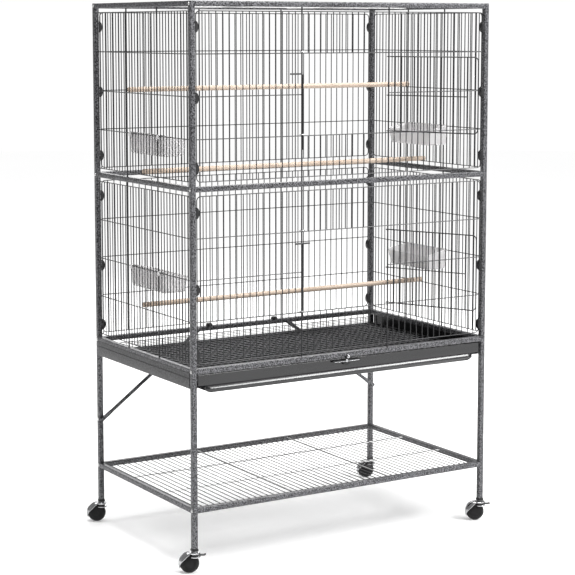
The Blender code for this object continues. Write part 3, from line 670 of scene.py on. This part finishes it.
def joinInto(thing, *others):
    shape = bmesh.new()
    for part in (thing, *others):
        shape.from_mesh(part.data)
    shape.to_mesh(thing.data)
    shape.free()
    for part in others:
        bpy.data.objects.remove(part, do_unlink=True)
    return thing


for level in tierBase:
    for side in ("front", "back", "left", "right"):
        makeWall(level, side)
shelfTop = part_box("shelf_deck")[1].z
makeDeck("shelfWires", "shelf_deck", deck["wires"], shelfTop - deck["wire"])
makeDeck("roofWires", "top_panel", deck["roofWires"], middleOf("top_panel").z + deck["roofLift"])
print("wire panels made")


# Doors, drop latches and the staples beside them
door = {
    "wire": 0.0012, "frame": 0.0014, "corner": 0.012, "knuckle": 0.0030, "columns": 13, "middleDrop": 0.006,
    "freeGap": 0.0048, "loopGap": 8,
}


def makeDoor(level):
    hinge = jointAt[f"{level}_door_hinge"]
    low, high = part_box(f"{level}_door")
    height = high.z - low.z
    opened = -math.radians(jointRange[f"{level}_door_hinge"][0])
    wire = door["wire"]
    width = 2 * hinge.x - door["freeGap"] - wire
    shape = Shape()
    y0, y2 = wire, height - wire
    y1 = crossPitch - 0.003 - door["middleDrop"]
    first = door["knuckle"] + wire
    outer = [(first, y0, 0), (width, y0, 0), (width, y2, 0), (first, y2, 0)]
    shape.wire(softened(outer, door["corner"], steps=6), door["frame"])
    pitch = wall["pitchX"]
    columns = [pitch * k for k in range(1, door["columns"]) if pitch * k < width - pitch * 0.4]
    for x in columns:
        shape.wire([(x, y0, -wall["layer"] * 2), (x, y2, -wall["layer"] * 2)], wire)
    shape.wire([(first, y1, wall["layer"]), (columns[-1] + wire, y1, wall["layer"])], wire)
    for y in (y0, y1, y2):  # loops round the long rod
        gap = math.radians(door["loopGap"])
        turns = [gap + (math.tau - 2 * gap) * k / 16 for k in range(17)]
        shape.wire([(first * math.cos(t), y, first * math.sin(t)) for t in turns], wire, sides=6)
    swing = Matrix.Translation((hinge.x, hinge.y, low.z)) @ Matrix.Rotation(math.pi + opened, 4, "Z")
    shape.mesh.transform(swing @ toFront)
    settle(shape.finish(f"{level}DoorWires", finishes["wire"]), f"{level}_door", "black_wire", f"{level}_door")


latch = {"rod": 0.0020, "handle": 0.034, "cross": 0.020}


def makeLatch(level):
    low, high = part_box(f"{level}_door_latch")
    y = (low.y + high.y) / 2
    x = high.x - latch["rod"]
    top = high.z - latch["rod"]
    foot = low.z + latch["rod"]
    shape = Shape()
    if level == "upper":
        path = [(x, y, foot), (x, y, top), (x - latch["handle"], y, top)]
        shape.wire(softened(path, 0.006, steps=6), latch["rod"], sides=12)
    else:
        shape.wire([(x, y, foot), (x, y, top)], latch["rod"], sides=12)
        shape.wire([(x - latch["cross"], y, top), (x + latch["cross"], y, top)], latch["rod"], sides=12)
    shape.wire([(x, y, foot), (x, y + 0.0004, foot - latch["rod"] * 0.9)], latch["rod"] * 0.7, sides=12)
    bmesh.ops.remove_doubles(shape.mesh, verts=shape.mesh.verts, dist=0.000001)
    settle(shape.finish(f"{level}DropLatch", finishes["wire"]), f"{level}_door_latch", "black_wire",
           f"{level}_door_latch")


staple = {"wire": 0.0011, "left": 0.0060, "right": 0.0036, "reach": 0.0062}


def makeStaples():
    shape = Shape()
    out = -halfY - wall["wire"]
    for level in tierBase:
        middle = tierBase[level] + tier / 2
        for rise in (crossPitch, -crossPitch):
            z = middle + rise + wall["wire"] * 2 + staple["wire"]
            left, right = -rodPlaceX - staple["left"], -rodPlaceX + staple["right"]
            path = [spot(left, out + 0.001, z), spot(left, out - staple["reach"], z)]
            path += [spot(right, out - staple["reach"], z), spot(right, out + 0.001, z)]
            shape.wire(softened(path, 0.003, steps=5), staple["wire"])
    settle(shape.finish("latchStaples", finishes["steel"]), "root", "latch_steel")


for level in tierBase:
    makeDoor(level)
    makeLatch(level)
makeStaples()
print("doors and latches made")


# Feeder cups and perches
feeder = {
    "wall": 0.0020, "corner": 0.008, "taper": 0.006, "standOff": 0.0030, "frontDrop": 0.014,
    "hookWide": 0.008, "hookSpan": 0.0729, "hookOut": 0.0022,
}


def cupRing(low, high, half, back, front, corner):
    square = [(low, -half, 0), (high, -half, 0), (high, half, 0), (low, half, 0)]
    ring = softened(square, corner, closed=True, steps=5)
    return [(p.x, p.y, back + (front - back) * (p.x - low) / (high - low)) for p in ring]


def makeFeeder(level, side):
    node = f"{level}_feeder_{side}"
    low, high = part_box(node)
    sign = -1 if side == "left" else 1
    plane = sign * halfX
    depth = plane - low.x if side == "right" else high.x - plane
    rim, floor = high.z, low.z
    middle = (low.y + high.y) / 2
    half = (high.y - low.y) / 2
    wallThick, taper, corner = feeder["wall"], feeder["taper"], feeder["corner"]
    back, front = feeder["standOff"], depth
    rims, floors = (rim, rim - feeder["frontDrop"]), (floor, floor)

    # Gap at the back, gap at the front and ends, levels it hangs from, rise, corner
    rows = [
        (0.003, taper + 0.003, floors, 0.0, corner - 0.003),
        (0.0006, taper + 0.0006, floors, 0.0012, corner),
        (0.0, taper * 0.85, floors, 0.004, corner),
        (0.0, 0.0010, rims, -0.0035, corner),
        (0.0, 0.0, rims, -0.0030, corner),
        (0.0, 0.0, rims, 0.0, corner),
        (wallThick, wallThick, rims, 0.0, corner - 0.001),
        (wallThick, taper + wallThick, floors, 0.005, corner - 0.001),
        (0.005, taper + 0.005, floors, wallThick, corner - 0.003),
    ]
    rings = [cupRing(back + behind, front - inset, half - inset, *(z + rise for z in levels), bend)
             for behind, inset, levels, rise, bend in rows]
    cup = Shape()
    facing = Matrix.Rotation(math.pi if side == "right" else 0, 4, "Z")
    place = Matrix.Translation((plane, middle, 0)) @ facing
    cup.skin(rings, place)
    outside = wall["wire"] + feeder["hookOut"]
    for end in (-1, 1):
        strap = [(back + 0.001, rim - 0.007), (back + 0.001, rim - 0.0015), (back, rim), (-outside, rim)]
        strap += [(-outside - 0.0016, rim - 0.0012), (-outside - 0.0016, rim - 0.010), (-outside, rim - 0.010)]
        strap += [(-outside, rim - 0.0018), (back - 0.0012, rim - 0.0018), (back - 0.0012, rim - 0.007)]
        wide = feeder["hookWide"] / 2
        rings = [[(x, end * feeder["hookSpan"] + y, z) for x, z in strap] for y in (-wide, wide)]
        cup.skin(rings, place)
    name = f"{level}{side.title()}Feeder"
    settle(cup.finish(name, finishes["clear"]), node, "clear_plastic", node)


dowel = {"chamfer": 0.0012}


def makePerch(name):
    node = "perch_" + name
    low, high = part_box(node)
    middle, half = (low + high) / 2, (high - low) / 2
    r, cut = half.z, dowel["chamfer"]
    outline = [(-half.x, 0), (-half.x, r - cut), (-half.x + cut, r)]
    outline += [(half.x * k / 6, r) for k in range(-5, 6)]
    outline += [(half.x - cut, r), (half.x, r - cut), (half.x, 0)]
    shape = Shape()
    shape.turned(outline, Matrix.Translation(middle) @ Matrix.Rotation(math.pi / 2, 4, "Y"), 28)
    settle(shape.finish(camel(node), finishes["wood"]), "root", "pale_wood", node)


for level in tierBase:
    for side in ("left", "right"):
        makeFeeder(level, side)
for name in ("upper_rear", "upper_middle", "lower_middle"):
    makePerch(name)
print("feeders and perches made")


# Skirts, tray, grate and turn latch
skirt = {"sheet": 0.0012, "proud": 0.0009, "topDrop": 0.0030, "bead": 0.0158, "flange": 0.0235}


def makeSkirts():
    top = railZ["base"] - skirt["topDrop"]
    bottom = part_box("base_side_left")[0].z
    half = sizeOf("base_side_left").y / 2
    shape = Shape()
    sheet, proud, bead = skirt["sheet"], skirt["proud"], railZ["base"] - skirt["bead"]
    face = -tube / 2 - proud
    outer = [(face, top), (face, bead + 0.0008), (face + 0.0006, bead), (face, bead - 0.0008)]
    outer += [(face, bottom + 0.0014), (face + 0.0004, bottom + 0.0004), (face + 0.0014, bottom)]
    outer += [(skirt["flange"] - tube / 2, bottom)]
    inner = [(skirt["flange"] - tube / 2, bottom + sheet), (-tube / 2 + sheet - proud, bottom + sheet)]
    inner += [(-tube / 2 + sheet - proud, top)]
    for side in (-1, 1):
        outline = [(-x * side, z) for x, z in outer + inner]
        if side == 1:
            outline.reverse()
        place = Matrix.Translation(spot(side * halfX, 0, 0)) @ toFront
        shape.plate(outline, -half, half, matrix=place)
    points = [spot(side * halfX, end * half, railZ["base"]) for side in (-1, 1) for end in (-1, 1)]
    settle(squareTubes("baseSides", points), "root", "hammered_tube", "base_side_left", "base_side_right")
    settle(shape.finish("skirtSheets", finishes["sheet"]), "root", "hammered_tube")


tray = {
    "wall": 0.0020, "corner": 0.006, "rim": 0.0090, "bellyInset": 0.030, "bellyFront": 0.018, "taper": 0.008,
    "apronHeight": 0.025, "apronThick": 0.0018, "lipHalf": 0.372, "lipDrop": 0.0096, "lipFlare": 0.0047,
}


def trayRing(halfWide, front, back, z, corner):
    square = [(-halfWide, front, 0), (halfWide, front, 0), (halfWide, back, 0), (-halfWide, back, 0)]
    return [spot(p.x, p.y, z) for p in softened(square, corner, closed=True, steps=4)]


def makeTray():
    low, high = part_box("tray")
    halfWide = (high.x - low.x) / 2
    front, back = -halfY, high.y - cageY
    floor = low.z
    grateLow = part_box("grate")[0].z
    rim = grateLow - 0.0003
    ledge = rim - tray["rim"]
    thick, corner = tray["wall"], tray["corner"]
    bellyX = halfWide - tray["bellyInset"]
    bellyFront, bellyBack = front + tray["bellyFront"], back - tray["bellyFront"]
    taper = tray["taper"]
    levels = [
        (bellyX - taper, bellyFront + taper / 2, bellyBack - taper, floor),
        (bellyX - taper * 0.75, bellyFront + taper * 0.3, bellyBack - taper * 0.75, floor + 0.0012),
        (bellyX - 0.0008, bellyFront, bellyBack, ledge - 0.0022),
        (bellyX + 0.0016, bellyFront - 0.0016, bellyBack + 0.0016, ledge),
        (halfWide - 0.0012, front + 0.0016, back - 0.0012, ledge),
        (halfWide, front + 0.0008, back, ledge + 0.0012),
        (halfWide, front + 0.0008, back, rim - 0.0004),
        (halfWide - 0.0006, front + 0.0012, back - 0.0006, rim),
        (halfWide - thick + 0.0004, front + thick, back - thick + 0.0004, rim),
        (halfWide - thick, front + thick + 0.0004, back - thick, rim - 0.0006),
        (halfWide - thick, front + thick + 0.0004, back - thick, ledge + thick),
        (bellyX - thick, bellyFront + thick, bellyBack - thick, ledge + thick),
        (bellyX - thick - taper, bellyFront + thick + taper / 2, bellyBack - thick - taper, floor + thick),
    ]
    shape = Shape()
    shape.skin([trayRing(*level, corner) for level in levels])
    settle(shape.finish("slidingTray", finishes["pan"], 40), "tray", "tray_plastic", "tray")
    shape = Shape()

    # Rolled lip that the fingers pull, tapering in at its ends
    lip = tray["lipHalf"]
    top, nose = ledge + 0.0046, ledge - 0.0044
    stations = [(-lip - 0.014, 0.0), (-lip - 0.006, 0.7), (-lip, 1.0)]
    stations += [(-x, full) for x, full in reversed(stations)]
    rings = []
    for x, full in stations:
        out, drop = tray["lipFlare"] * full + 0.0002, tray["lipDrop"] * (0.35 + 0.65 * full)
        section = [(front + 0.0016, top), (front + 0.0006, top + 0.0003), (front - 0.0002, top - 0.0003)]
        section += [(front - out, nose + 0.0006), (front - out - 0.0003, nose - 0.0003)]
        section += [(front - out + 0.0001, nose - 0.0014), (front - out * 0.4, nose - drop + 0.0012)]
        section += [(front - out * 0.2 + 0.0006, nose - drop + 0.0003), (front + 0.0016, nose - drop)]
        section += [(front + 0.0026, nose - drop + 0.0006), (front + 0.0030, nose - drop + 0.0020)]
        section += [(front + 0.0030, ledge)]
        rings.append([spot(x, y, z) for y, z in section])
    shape.skin(rings)

    # Apron plate with rolled top edge
    apronTop = high.z
    half = halfWide - 0.0004
    outline = [(-half, apronTop - tray["apronHeight"]), (half, apronTop - tray["apronHeight"])]
    outline += [(half, apronTop - 0.001), (half - 0.001, apronTop), (-half + 0.001, apronTop)]
    outline += [(-half, apronTop - 0.001)]
    place = Matrix.Translation(spot(0, front, 0)) @ toFront
    shape.plate(outline, 0.0002, 0.0002 + tray["apronThick"], matrix=place)
    shape.wire([spot(-half, front - 0.0012, apronTop - 0.0009), spot(half, front - 0.0012, apronTop - 0.0009)],
               0.0010, sides=10)
    settle(shape.finish("trayFront", finishes["tray"], 40), "tray", "tray_plastic")


grate = {"wires": 45, "crosswires": 21, "wire": 0.0012, "frame": 0.0018, "fence": 0.0165, "fenceRows": 3}


def makeGrate():
    low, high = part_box("grate")
    half, reach = (high.x - low.x) / 2 - 0.0018, (high.y - low.y) / 2 - 0.0018
    middle = (low + high) / 2
    values = {
        "Half Width": half, "Half Height": reach, "Wires": grate["wires"],
        "Wire Pitch": 2 * half / (grate["wires"] + 1), "Wire": grate["wire"], "Crosswires": grate["crosswires"],
        "Cross Pitch": 2 * reach / (grate["crosswires"] + 1), "Cross": grate["wire"], "Layer": 0.0006,
        "Frame": grate["frame"], "Corner": 0.004, "Rods": 0, "Finish": finishes["mesh"],
    }
    mesh = grown("trayGrate", panelTree, values)
    mesh.data.transform(Matrix.Translation((middle.x, middle.y, low.z + grate["frame"])))

    # Back edge turned up, which keeps the seed off the back rail
    fence = grown("grateFence", panelTree, values | {
        "Half Height": grate["fence"] / 2, "Crosswires": grate["fenceRows"],
        "Cross Pitch": grate["fence"] / (grate["fenceRows"] + 1), "Frame": grate["wire"], "Corner": 0.003,
        "Cross": 0.0008, "Wire": 0.0008, "Layer": 0.0003,
    })
    place = Matrix.Translation((middle.x, middle.y + reach - 0.0004, low.z + grate["frame"] + grate["fence"] / 2))
    fence.data.transform(place @ Matrix.Rotation(math.pi / 2, 4, "X"))
    joinInto(mesh, fence)
    settle(mesh, "grate", "black_wire", "grate")


turnLatch = {"half": 0.040, "strap": 0.0024, "thick": 0.0014, "tab": 0.0105, "stalk": 0.0036, "knob": 0.0046}


def makeTurnLatch():
    pivot = jointAt["tray_latch_turn"]
    strap, tab, stalk, half = (turnLatch[key] for key in ("strap", "tab", "stalk", "half"))
    thick, knob = turnLatch["thick"], turnLatch["knob"]
    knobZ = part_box("tray_latch")[1].z - pivot.z - knob
    outline = [(-half, -strap * 0.5), (-half + strap * 0.5, -strap), (-tab, -strap)]
    outline += [(tab * math.cos(t), -strap + tab * math.sin(t) * 0.82)
                for t in (math.pi + math.pi * k / 12 for k in range(1, 12))]
    outline += [(tab, -strap), (half - strap * 0.5, -strap), (half, -strap * 0.5)]
    outline += [(half, strap * 0.5), (half - strap * 0.5, strap), (stalk, strap), (stalk, knobZ)]
    outline += [(-stalk, knobZ), (-stalk, strap), (-half + strap * 0.5, strap), (-half, strap * 0.5)]
    place = Matrix.Translation(pivot) @ toFront
    plate = Shape()
    plate.plate(outline, 0, thick, matrix=place)
    plate.turned([(-0.0022, 0), (-0.0022, 0.003), (0.0, 0.003)], place, 16)
    thing = plate.finish("trayTurnLatch", finishes["nylon"])
    settle(thing, "tray_latch", "latch_steel", "tray_latch")
    bright = Shape()
    bright.wire([pivot + Vector((-half * 0.9, -thick, -strap * 0.55)),
                 pivot + Vector((half * 0.9, -thick, -strap * 0.55))], 0.0007, sides=8)
    outline = [(0, 0), (0, 0.0026), (thick + 0.0026, 0.0026), (0.0050, knob), (0.0078, knob * 1.04)]
    outline += [(0.0100, knob * 0.86), (0.0112, knob * 0.5), (0.0115, 0)]
    bright.turned(outline, Matrix.Translation(pivot + Vector((0, 0, knobZ))) @ toFront, 24)
    bright.turned([(0, 0), (0, 0.0034), (thick + 0.0008, 0.0034), (thick + 0.0014, 0.0024),
                   (thick + 0.0018, 0)], place, 20)
    settle(bright.finish("turnLatchKnob", finishes["chrome"]), "tray_latch", "chrome")


makeSkirts()
makeTray()
makeGrate()
makeTurnLatch()
print("base made")


# Braces, clips and bolts
brace = {
    "rod": 0.0045, "flat": 0.0015, "endLength": 0.022, "blend": 0.016, "steps": 6, "footHeight": 0.2670,
    "run": 0.282,
}


def makeBrace(side):
    node = "brace_" + side
    low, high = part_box(node)
    sign = -1 if side == "left" else 1
    foot = spot(sign * halfX, 0, brace["footHeight"])
    foot.y = (low.y + high.y) / 2
    head = Vector((sign * (halfX - brace["run"]), foot.y, railZ["base"]))
    along = (head - foot).normalized()
    run = (head - foot).length
    up = Vector((0, 1, 0)).cross(along)
    flatEnd, blend = brace["endLength"], brace["blend"]
    stations = [(-0.0057, 0.0), (-0.0045, 0.0), (flatEnd, 0.0)]
    stations += [(flatEnd + blend * k / brace["steps"], k / brace["steps"]) for k in range(1, brace["steps"] + 1)]
    stations += [(run - x, share) for x, share in reversed(stations)]
    rings = []
    for x, share in stations:
        share = share * share * (3 - 2 * share)
        tip = 0.72 if x in (stations[0][0], stations[-1][0]) else 1.0
        wide = brace["rod"] * (1.25 - 0.25 * share) * tip
        thin = brace["flat"] + (brace["rod"] - brace["flat"]) * share
        turns = [math.tau * k / 20 for k in range(20)]
        rings.append([foot + along * x + Vector((0, 1, 0)) * (thin * math.cos(t)) + up * (wide * math.sin(t))
                      for t in turns])
    shape = Shape()
    shape.skin(rings)
    settle(shape.finish(side + "Brace", finishes["tube"]), "root", "hammered_tube", node)


clip = {
    "tall": 0.027, "reach": 0.0095, "thick": 0.0105, "rim": 0.0008,
    "heights": {"upper": (0.158, -0.003, -0.163), "lower": (0.156, -0.021, -0.172)},
}


def makeClips():
    half, reach = clip["tall"] / 2, clip["reach"]
    turns = [math.pi * k / 16 - math.pi / 2 for k in range(1, 16)]
    outline = [(0, -half), *((reach * math.cos(t) ** 0.75, half * math.sin(t)) for t in turns), (0, half)]
    for sideX in sideNames:
        seed = Shape()
        mirror = Matrix.Scale(-sideX, 4, (1, 0, 0))
        place = mirror @ toFront
        seed.plate(outline, -clip["thick"] / 2, clip["thick"] / 2, clip["rim"], place)
        ridge = [(x * 0.72, y * 0.72) for x, y in outline]
        seed.plate(ridge, clip["thick"] / 2, clip["thick"] / 2 + 0.0008, 0.0004, place)
        fitting = seed.finish("clipSeed", finishes["nylon"])
        middles = {level: tierBase[level] + tier / 2 for level in clip["heights"]}
        heights = [middles[level] + rise for level, rises in clip["heights"].items() for rise in rises]
        points = [spot(sideX * (halfX - tube / 2), sideY * halfY, z) for z in heights for sideY in (-1, 1)]
        scattered(sideNames[sideX] + "Clips", fitting, finishes["nylon"], points, "brake_black")


railClip = {"apart": 0.20, "wide": 0.016, "tall": 0.0085, "deep": 0.0115}


def makeRailClips():
    clips = Shape()
    half, rise, deep = railClip["wide"] / 2, railClip["tall"], railClip["deep"]
    square = [(-half, 0, 0), (half, 0, 0), (half * 0.8, rise, 0), (-half * 0.8, rise, 0)]
    outline = [(point.x, point.y) for point in softened(square, 0.0035, closed=True)]
    for side in (-1, 1):
        at = spot(side * railClip["apart"] / 2, halfY, railZ["base"] + tube / 2 - 0.0015)
        place = Matrix.Translation(at) @ toFront
        clips.plate(outline, -deep / 2 + tube / 4, deep / 2 + tube / 4, 0.0008, place)
    settle(clips.finish("backRailClips", finishes["nylon"]), "root", "brake_black")


bolt = {"head": 0.0034, "rise": 0.0019, "washer": 0.0042}


def makeBolts():
    head, rise, washer = bolt["head"], bolt["rise"], bolt["washer"]
    outline = [(0, 0), (0, washer), (0.0004, washer), (0.0005, head)]
    turns = [math.pi / 2 * k / 6 for k in range(1, 6)]
    outline += [(0.0005 + rise * math.sin(t), head * math.cos(t)) for t in turns]
    outline += [(0.0005 + rise, 0)]
    levels = [railZ["top"], railZ["middle"], railZ["base"], railZ["shelf"]]
    for sideX in sideNames:
        seed = Shape()
        seed.turned(outline, Matrix.Rotation(sideX * math.pi / 2, 4, "Y"), 16)
        fitting = seed.finish("boltSeed", finishes["steel"])
        points = [spot(sideX * (halfX + tube / 2), sideY * halfY, z) for z in levels for sideY in (-1, 1)]
        points.append(spot(sideX * (halfX + tube / 2), halfY, brace["footHeight"]))
        scattered(sideNames[sideX] + "Bolts", fitting, finishes["steel"], points, "latch_steel")


for side in ("left", "right"):
    makeBrace(side)
makeClips()
makeRailClips()
makeBolts()
print("braces, clips and bolts made")


# Casters with their brakes and leg collars
caster = {
    "wheelHalf": 0.0115, "gap": 0.0017, "sheet": 0.0011, "shoulder": 0.0075, "hoodFrom": -30, "hoodTo": 142,
    "lipFrom": -28, "lipTo": 118, "chin": 0.0142, "chinFrom": 60, "chinTo": 205, "neckTo": 147,
    "plate": 0.0136, "ring": 0.0084, "collar": 0.0078,
}
axleTurn = Matrix(((1, 0, 0, 0), (0, 0, 1, 0), (0, 1, 0, 0), (0, 0, 0, 1)))


def makeCaster(corner, collars):
    stemAt, axleAt = jointAt["caster_swivel_" + corner], jointAt["caster_roll_" + corner]
    trail = (axleAt - stemAt).to_2d()
    yaw = math.atan2(trail.y, trail.x)
    foot = stemAt.z
    post = Matrix.Translation((stemAt.x, stemAt.y, 0)) @ Matrix.Rotation(yaw, 4, "Z")
    axle = post @ Matrix.Translation((trail.length, 0, axleAt.z)) @ axleTurn
    r, half = axleAt.z, caster["wheelHalf"]

    # Wheel: bulging tread and face, with a groove round the hub
    wheel = Shape()
    groove = -half + 0.001
    outline = [(-half, 0), (-half, r * 0.30), (groove, r * 0.34), (groove, r * 0.56), (-half, r * 0.60)]
    outline += [(half * z, r * size) for z, size in ((-0.93, 0.70), (-0.76, 0.84), (-0.52, 0.93), (-0.26, 0.985),
                (0.0, 1.0), (0.26, 0.985), (0.5, 0.935), (0.72, 0.85), (0.9, 0.73), (1.0, 0.62))]
    outline += [(half * z, r * size) for z, size in ((1.02, 0.58), (0.985, 0.555), (1.04, 0.53), (1.10, 0.36),
                (1.14, 0.18), (1.15, 0))]
    wheel.turned(outline, axle, 40)
    settle(wheel.finish(camel("wheel_" + corner), finishes["wheel"]), "caster_roll_" + corner, "wheel_black",
           "caster_wheel_" + corner)

    # Chrome hood over the back of the wheel, with a rounded shoulder
    inside = r + caster["gap"]
    outside = inside + caster["sheet"]
    cheek = half + caster["gap"]
    rim = half * 0.3
    bend = caster["shoulder"]
    outer = [(-cheek - caster["sheet"], 0.002)]
    inner = [(-cheek, 0.002)]
    for k in range(7):
        t = math.pi / 2 * k / 6
        outer.append((-cheek - caster["sheet"] + bend * (1 - math.cos(t)), outside - bend + bend * math.sin(t)))
        small = bend - caster["sheet"]
        inner.append((-cheek + small * (1 - math.cos(t)), inside - small + small * math.sin(t)))
    outer += [(rim - 0.0004, outside), (rim, outside - 0.0005)]
    inner += [(rim, inside)]
    hood = Shape()
    start, end = math.radians(caster["hoodFrom"]), math.radians(caster["hoodTo"])
    hood.turned(outer + inner[::-1], axle, 28, start, end)
    stages = 18
    rings = []
    for k in range(stages + 1):
        angle = math.radians(caster["lipFrom"] + (caster["lipTo"] - caster["lipFrom"]) * k / stages)
        reach = math.sin(math.pi * k / stages) ** 0.6
        ring = []
        for step, back in [(n / 5, False) for n in range(6)] + [(n / 5, True) for n in range(5, -1, -1)]:
            t = step * reach
            y, size = rim - 0.0004 + 0.0090 * t, outside - 0.0095 * t * t
            if back:
                y, size = y - 0.0004, size - 0.0012
            ring.append((size * math.cos(angle), size * math.sin(angle), y))
        rings.append(ring)
    hood.skin(rings, axle)
    chin = caster["chin"]
    band = [(foot - 0.0118, chin - 0.0022), (foot - 0.0119, chin - 0.0005), (foot - 0.0125, chin)]
    band += [(foot - 0.0138, chin), (foot - 0.0146, chin - 0.0006), (foot - 0.0148, chin - 0.0022)]
    hood.turned(band, post, 20, math.radians(caster["chinFrom"]), math.radians(caster["chinTo"]))

    # Axle, then the stem with its round plate and ring
    pin = [(-cheek - 0.0026, 0), (-cheek - 0.0026, 0.0026), (-cheek - 0.0018, 0.0038), (-cheek, 0.0038)]
    hood.turned(pin + [(half * 0.4, 0.0028), (half * 0.4, 0)], axle, 20)
    plate, ring = caster["plate"], caster["ring"]
    below = [(-0.0064, 0.0074), (-0.0062, plate - 0.0006), (-0.0052, plate), (-0.0038, plate)]
    below += [(-0.0030, plate - 0.0008), (-0.0028, 0.0062), (-0.0020, 0.0060), (-0.0018, ring - 0.0004)]
    below += [(-0.0012, ring), (-0.0003, ring - 0.0004), (-0.0003, 0)]
    stem = [(r + 0.016, 0), (r + 0.016, 0.0070)] + [(foot + drop, size) for drop, size in below]
    hood.turned(stem, post, 32)
    settle(hood.finish(camel("hood_" + corner), finishes["chrome"]), "caster_swivel_" + corner, "chrome",
           "caster_housing_" + corner)
    neck = Shape()
    sleeve = [(foot - 0.0060, 0.0098), (foot - 0.0060, 0.0118), (foot - 0.0119, 0.0116), (foot - 0.0119, 0.0098)]
    neck.turned(sleeve, post, 14, math.radians(caster["chinFrom"]), math.radians(caster["neckTo"]))
    settle(neck.finish(camel("neck_" + corner), finishes["nylon"]), "caster_swivel_" + corner, "brake_black")

    # Plastic insert that carries the stem in the foot of the leg
    wide = caster["collar"]
    levels = [(wide * 0.86, 0.0), (wide, 0.0009), (wide, 0.0022), (wide * 0.93, 0.0040)]
    levels.append((tube / 2 + 0.0003, 0.0062))
    rings = [[(x, y, foot + rise) for x, y in squareOutline(size, 0.0026)] for size, rise in levels]
    collars.skin(rings, Matrix.Translation((stemAt.x, stemAt.y, 0)))


brake = {"thick": 0.0008, "half": 0.0058, "bead": 0.0011}


def makeBrake(corner):
    pivot = jointAt["caster_brake_" + corner]
    stemAt, axleAt = jointAt["caster_swivel_" + corner], jointAt["caster_roll_" + corner]
    yaw = math.atan2(axleAt.y - stemAt.y, axleAt.x - stemAt.x)
    place = Matrix.Translation(pivot) @ Matrix.Rotation(yaw, 4, "Z") @ toFront
    line = [(0.0046, 0.0), (-0.0086, 0.0), (-0.0112, 0.0006), (-0.0130, 0.0016)]
    thick, half = brake["thick"], brake["half"]
    outline = [(x, y + thick) for x, y in line] + [(x, y - thick) for x, y in reversed(line)]
    shape = Shape()
    shape.plate(outline, -half, half, matrix=place)
    shape.wire([place @ Vector((-0.0128, 0.0016, z)) for z in (-half, half)], brake["bead"], sides=10)
    settle(shape.finish(camel("brake_" + corner), finishes["nylon"]), "brake_" + corner, "brake_black",
           "caster_brake_" + corner)


legCollars = Shape()
for corner in corners:
    makeCaster(corner, legCollars)
settle(legCollars.finish("legCollars", finishes["nylon"]), "root", "brake_black")
for corner in ("front_left", "front_right"):
    makeBrake(corner)
print("casters made")


# Camera, lights, floor and sky
studio = {
    "camera": (-2.2730, -3.6779, 1.2539), "yaw": 31.608, "pitch": -6.193, "lens": 107.82, "shift": -0.1226,
    "keyAt": (1.95, -2.6, 2.6), "keySize": (2.6, 0.65), "keyPower": 145.0,
    "backAt": (1.4, 3.4, 2.3), "backSize": (2.2, 2.2), "backPower": 45.0,
    "topAt": (-0.1, -0.1, 3.6), "topSize": (2.6, 1.4), "topPower": 150.0,
    "aimHeight": 0.6, "skyStrength": 0.36, "backdrop": 1.02, "floorGlow": 0.66, "floorRadius": 14,
}


def makeCamera():
    camera = bpy.data.cameras.new("camera")
    camera.lens = studio["lens"]
    camera.sensor_width = 36
    camera.shift_y = studio["shift"]
    thing = linked("camera", camera)
    thing.location = spot(*studio["camera"])
    thing.rotation_euler = (math.radians(90 + studio["pitch"]), 0, -math.radians(studio["yaw"]))
    bpy.context.scene.camera = thing


def makeLamp(name):
    lamp = bpy.data.lights.new(name, "AREA")
    lamp.shape = "RECTANGLE"
    lamp.size, lamp.size_y = studio[name + "Size"]
    lamp.energy = studio[name + "Power"]
    thing = linked(name, lamp)
    place = spot(*studio[name + "At"])
    thing.location = place
    thing.rotation_euler = (spot(0, 0, studio["aimHeight"]) - place).to_track_quat("-Z", "Y").to_euler()


def makeFloor():
    floor = bmesh.new()
    bmesh.ops.create_circle(floor, cap_ends=True, segments=64, radius=studio["floorRadius"])
    mesh = bpy.data.meshes.new("floor")
    floor.to_mesh(mesh)
    floor.free()
    # The floor glows though it is no lamp: painted light, a third of full glow within a metre of the middle and
    # full glow from five metres out
    paintAndGlow = Finish("floorPaint", {"Specular IOR Level": 0.2, "Emission Strength": studio["floorGlow"]})
    away = paintAndGlow.add("ShaderNodeVectorMath", {"operation": "LENGTH"}, {0: paintAndGlow.place}, take="Value")
    haze = paintAndGlow.noise(0.8)
    mesh.materials.append(paintAndGlow.wear(
        Base_Color=paintAndGlow.ramp(haze, [(0.2, (0.86, 0.86, 0.86)), (0.8, (0.90, 0.90, 0.90))]),
        Roughness=haze * 0.1 + 0.7,
        Emission_Color=paintAndGlow.ramp(away * 0.1, [(0.1, (0.34, 0.34, 0.34)), (0.5, (1, 1, 1))]),
    ))
    linked("floor", mesh)


def makeSky():
    world = bpy.data.worlds.new("studio")
    bpy.context.scene.world = world
    world.use_nodes = True
    sky = Graph(world.node_tree)
    glow = sky.tree.nodes["Background"]
    glow.inputs["Color"].default_value = (1, 1, 1, 1)
    glow.inputs["Strength"].default_value = studio["skyStrength"]
    white = sky.add("ShaderNodeBackground", values={"Color": (1, 1, 1, 1), "Strength": studio["backdrop"]})
    seen = sky.add("ShaderNodeLightPath", take="Is Camera Ray")
    both = sky.add("ShaderNodeMixShader", values={0: seen, 1: Link(sky, glow.outputs[0]), 2: white})
    sky.tree.links.new(both.socket, sky.tree.nodes["World Output"].inputs["Surface"])


makeCamera()
for name in ("key", "back", "top"):
    makeLamp(name)
makeFloor()
makeSky()
bpy.context.scene.view_settings.view_transform = "Standard"
print("studio made")
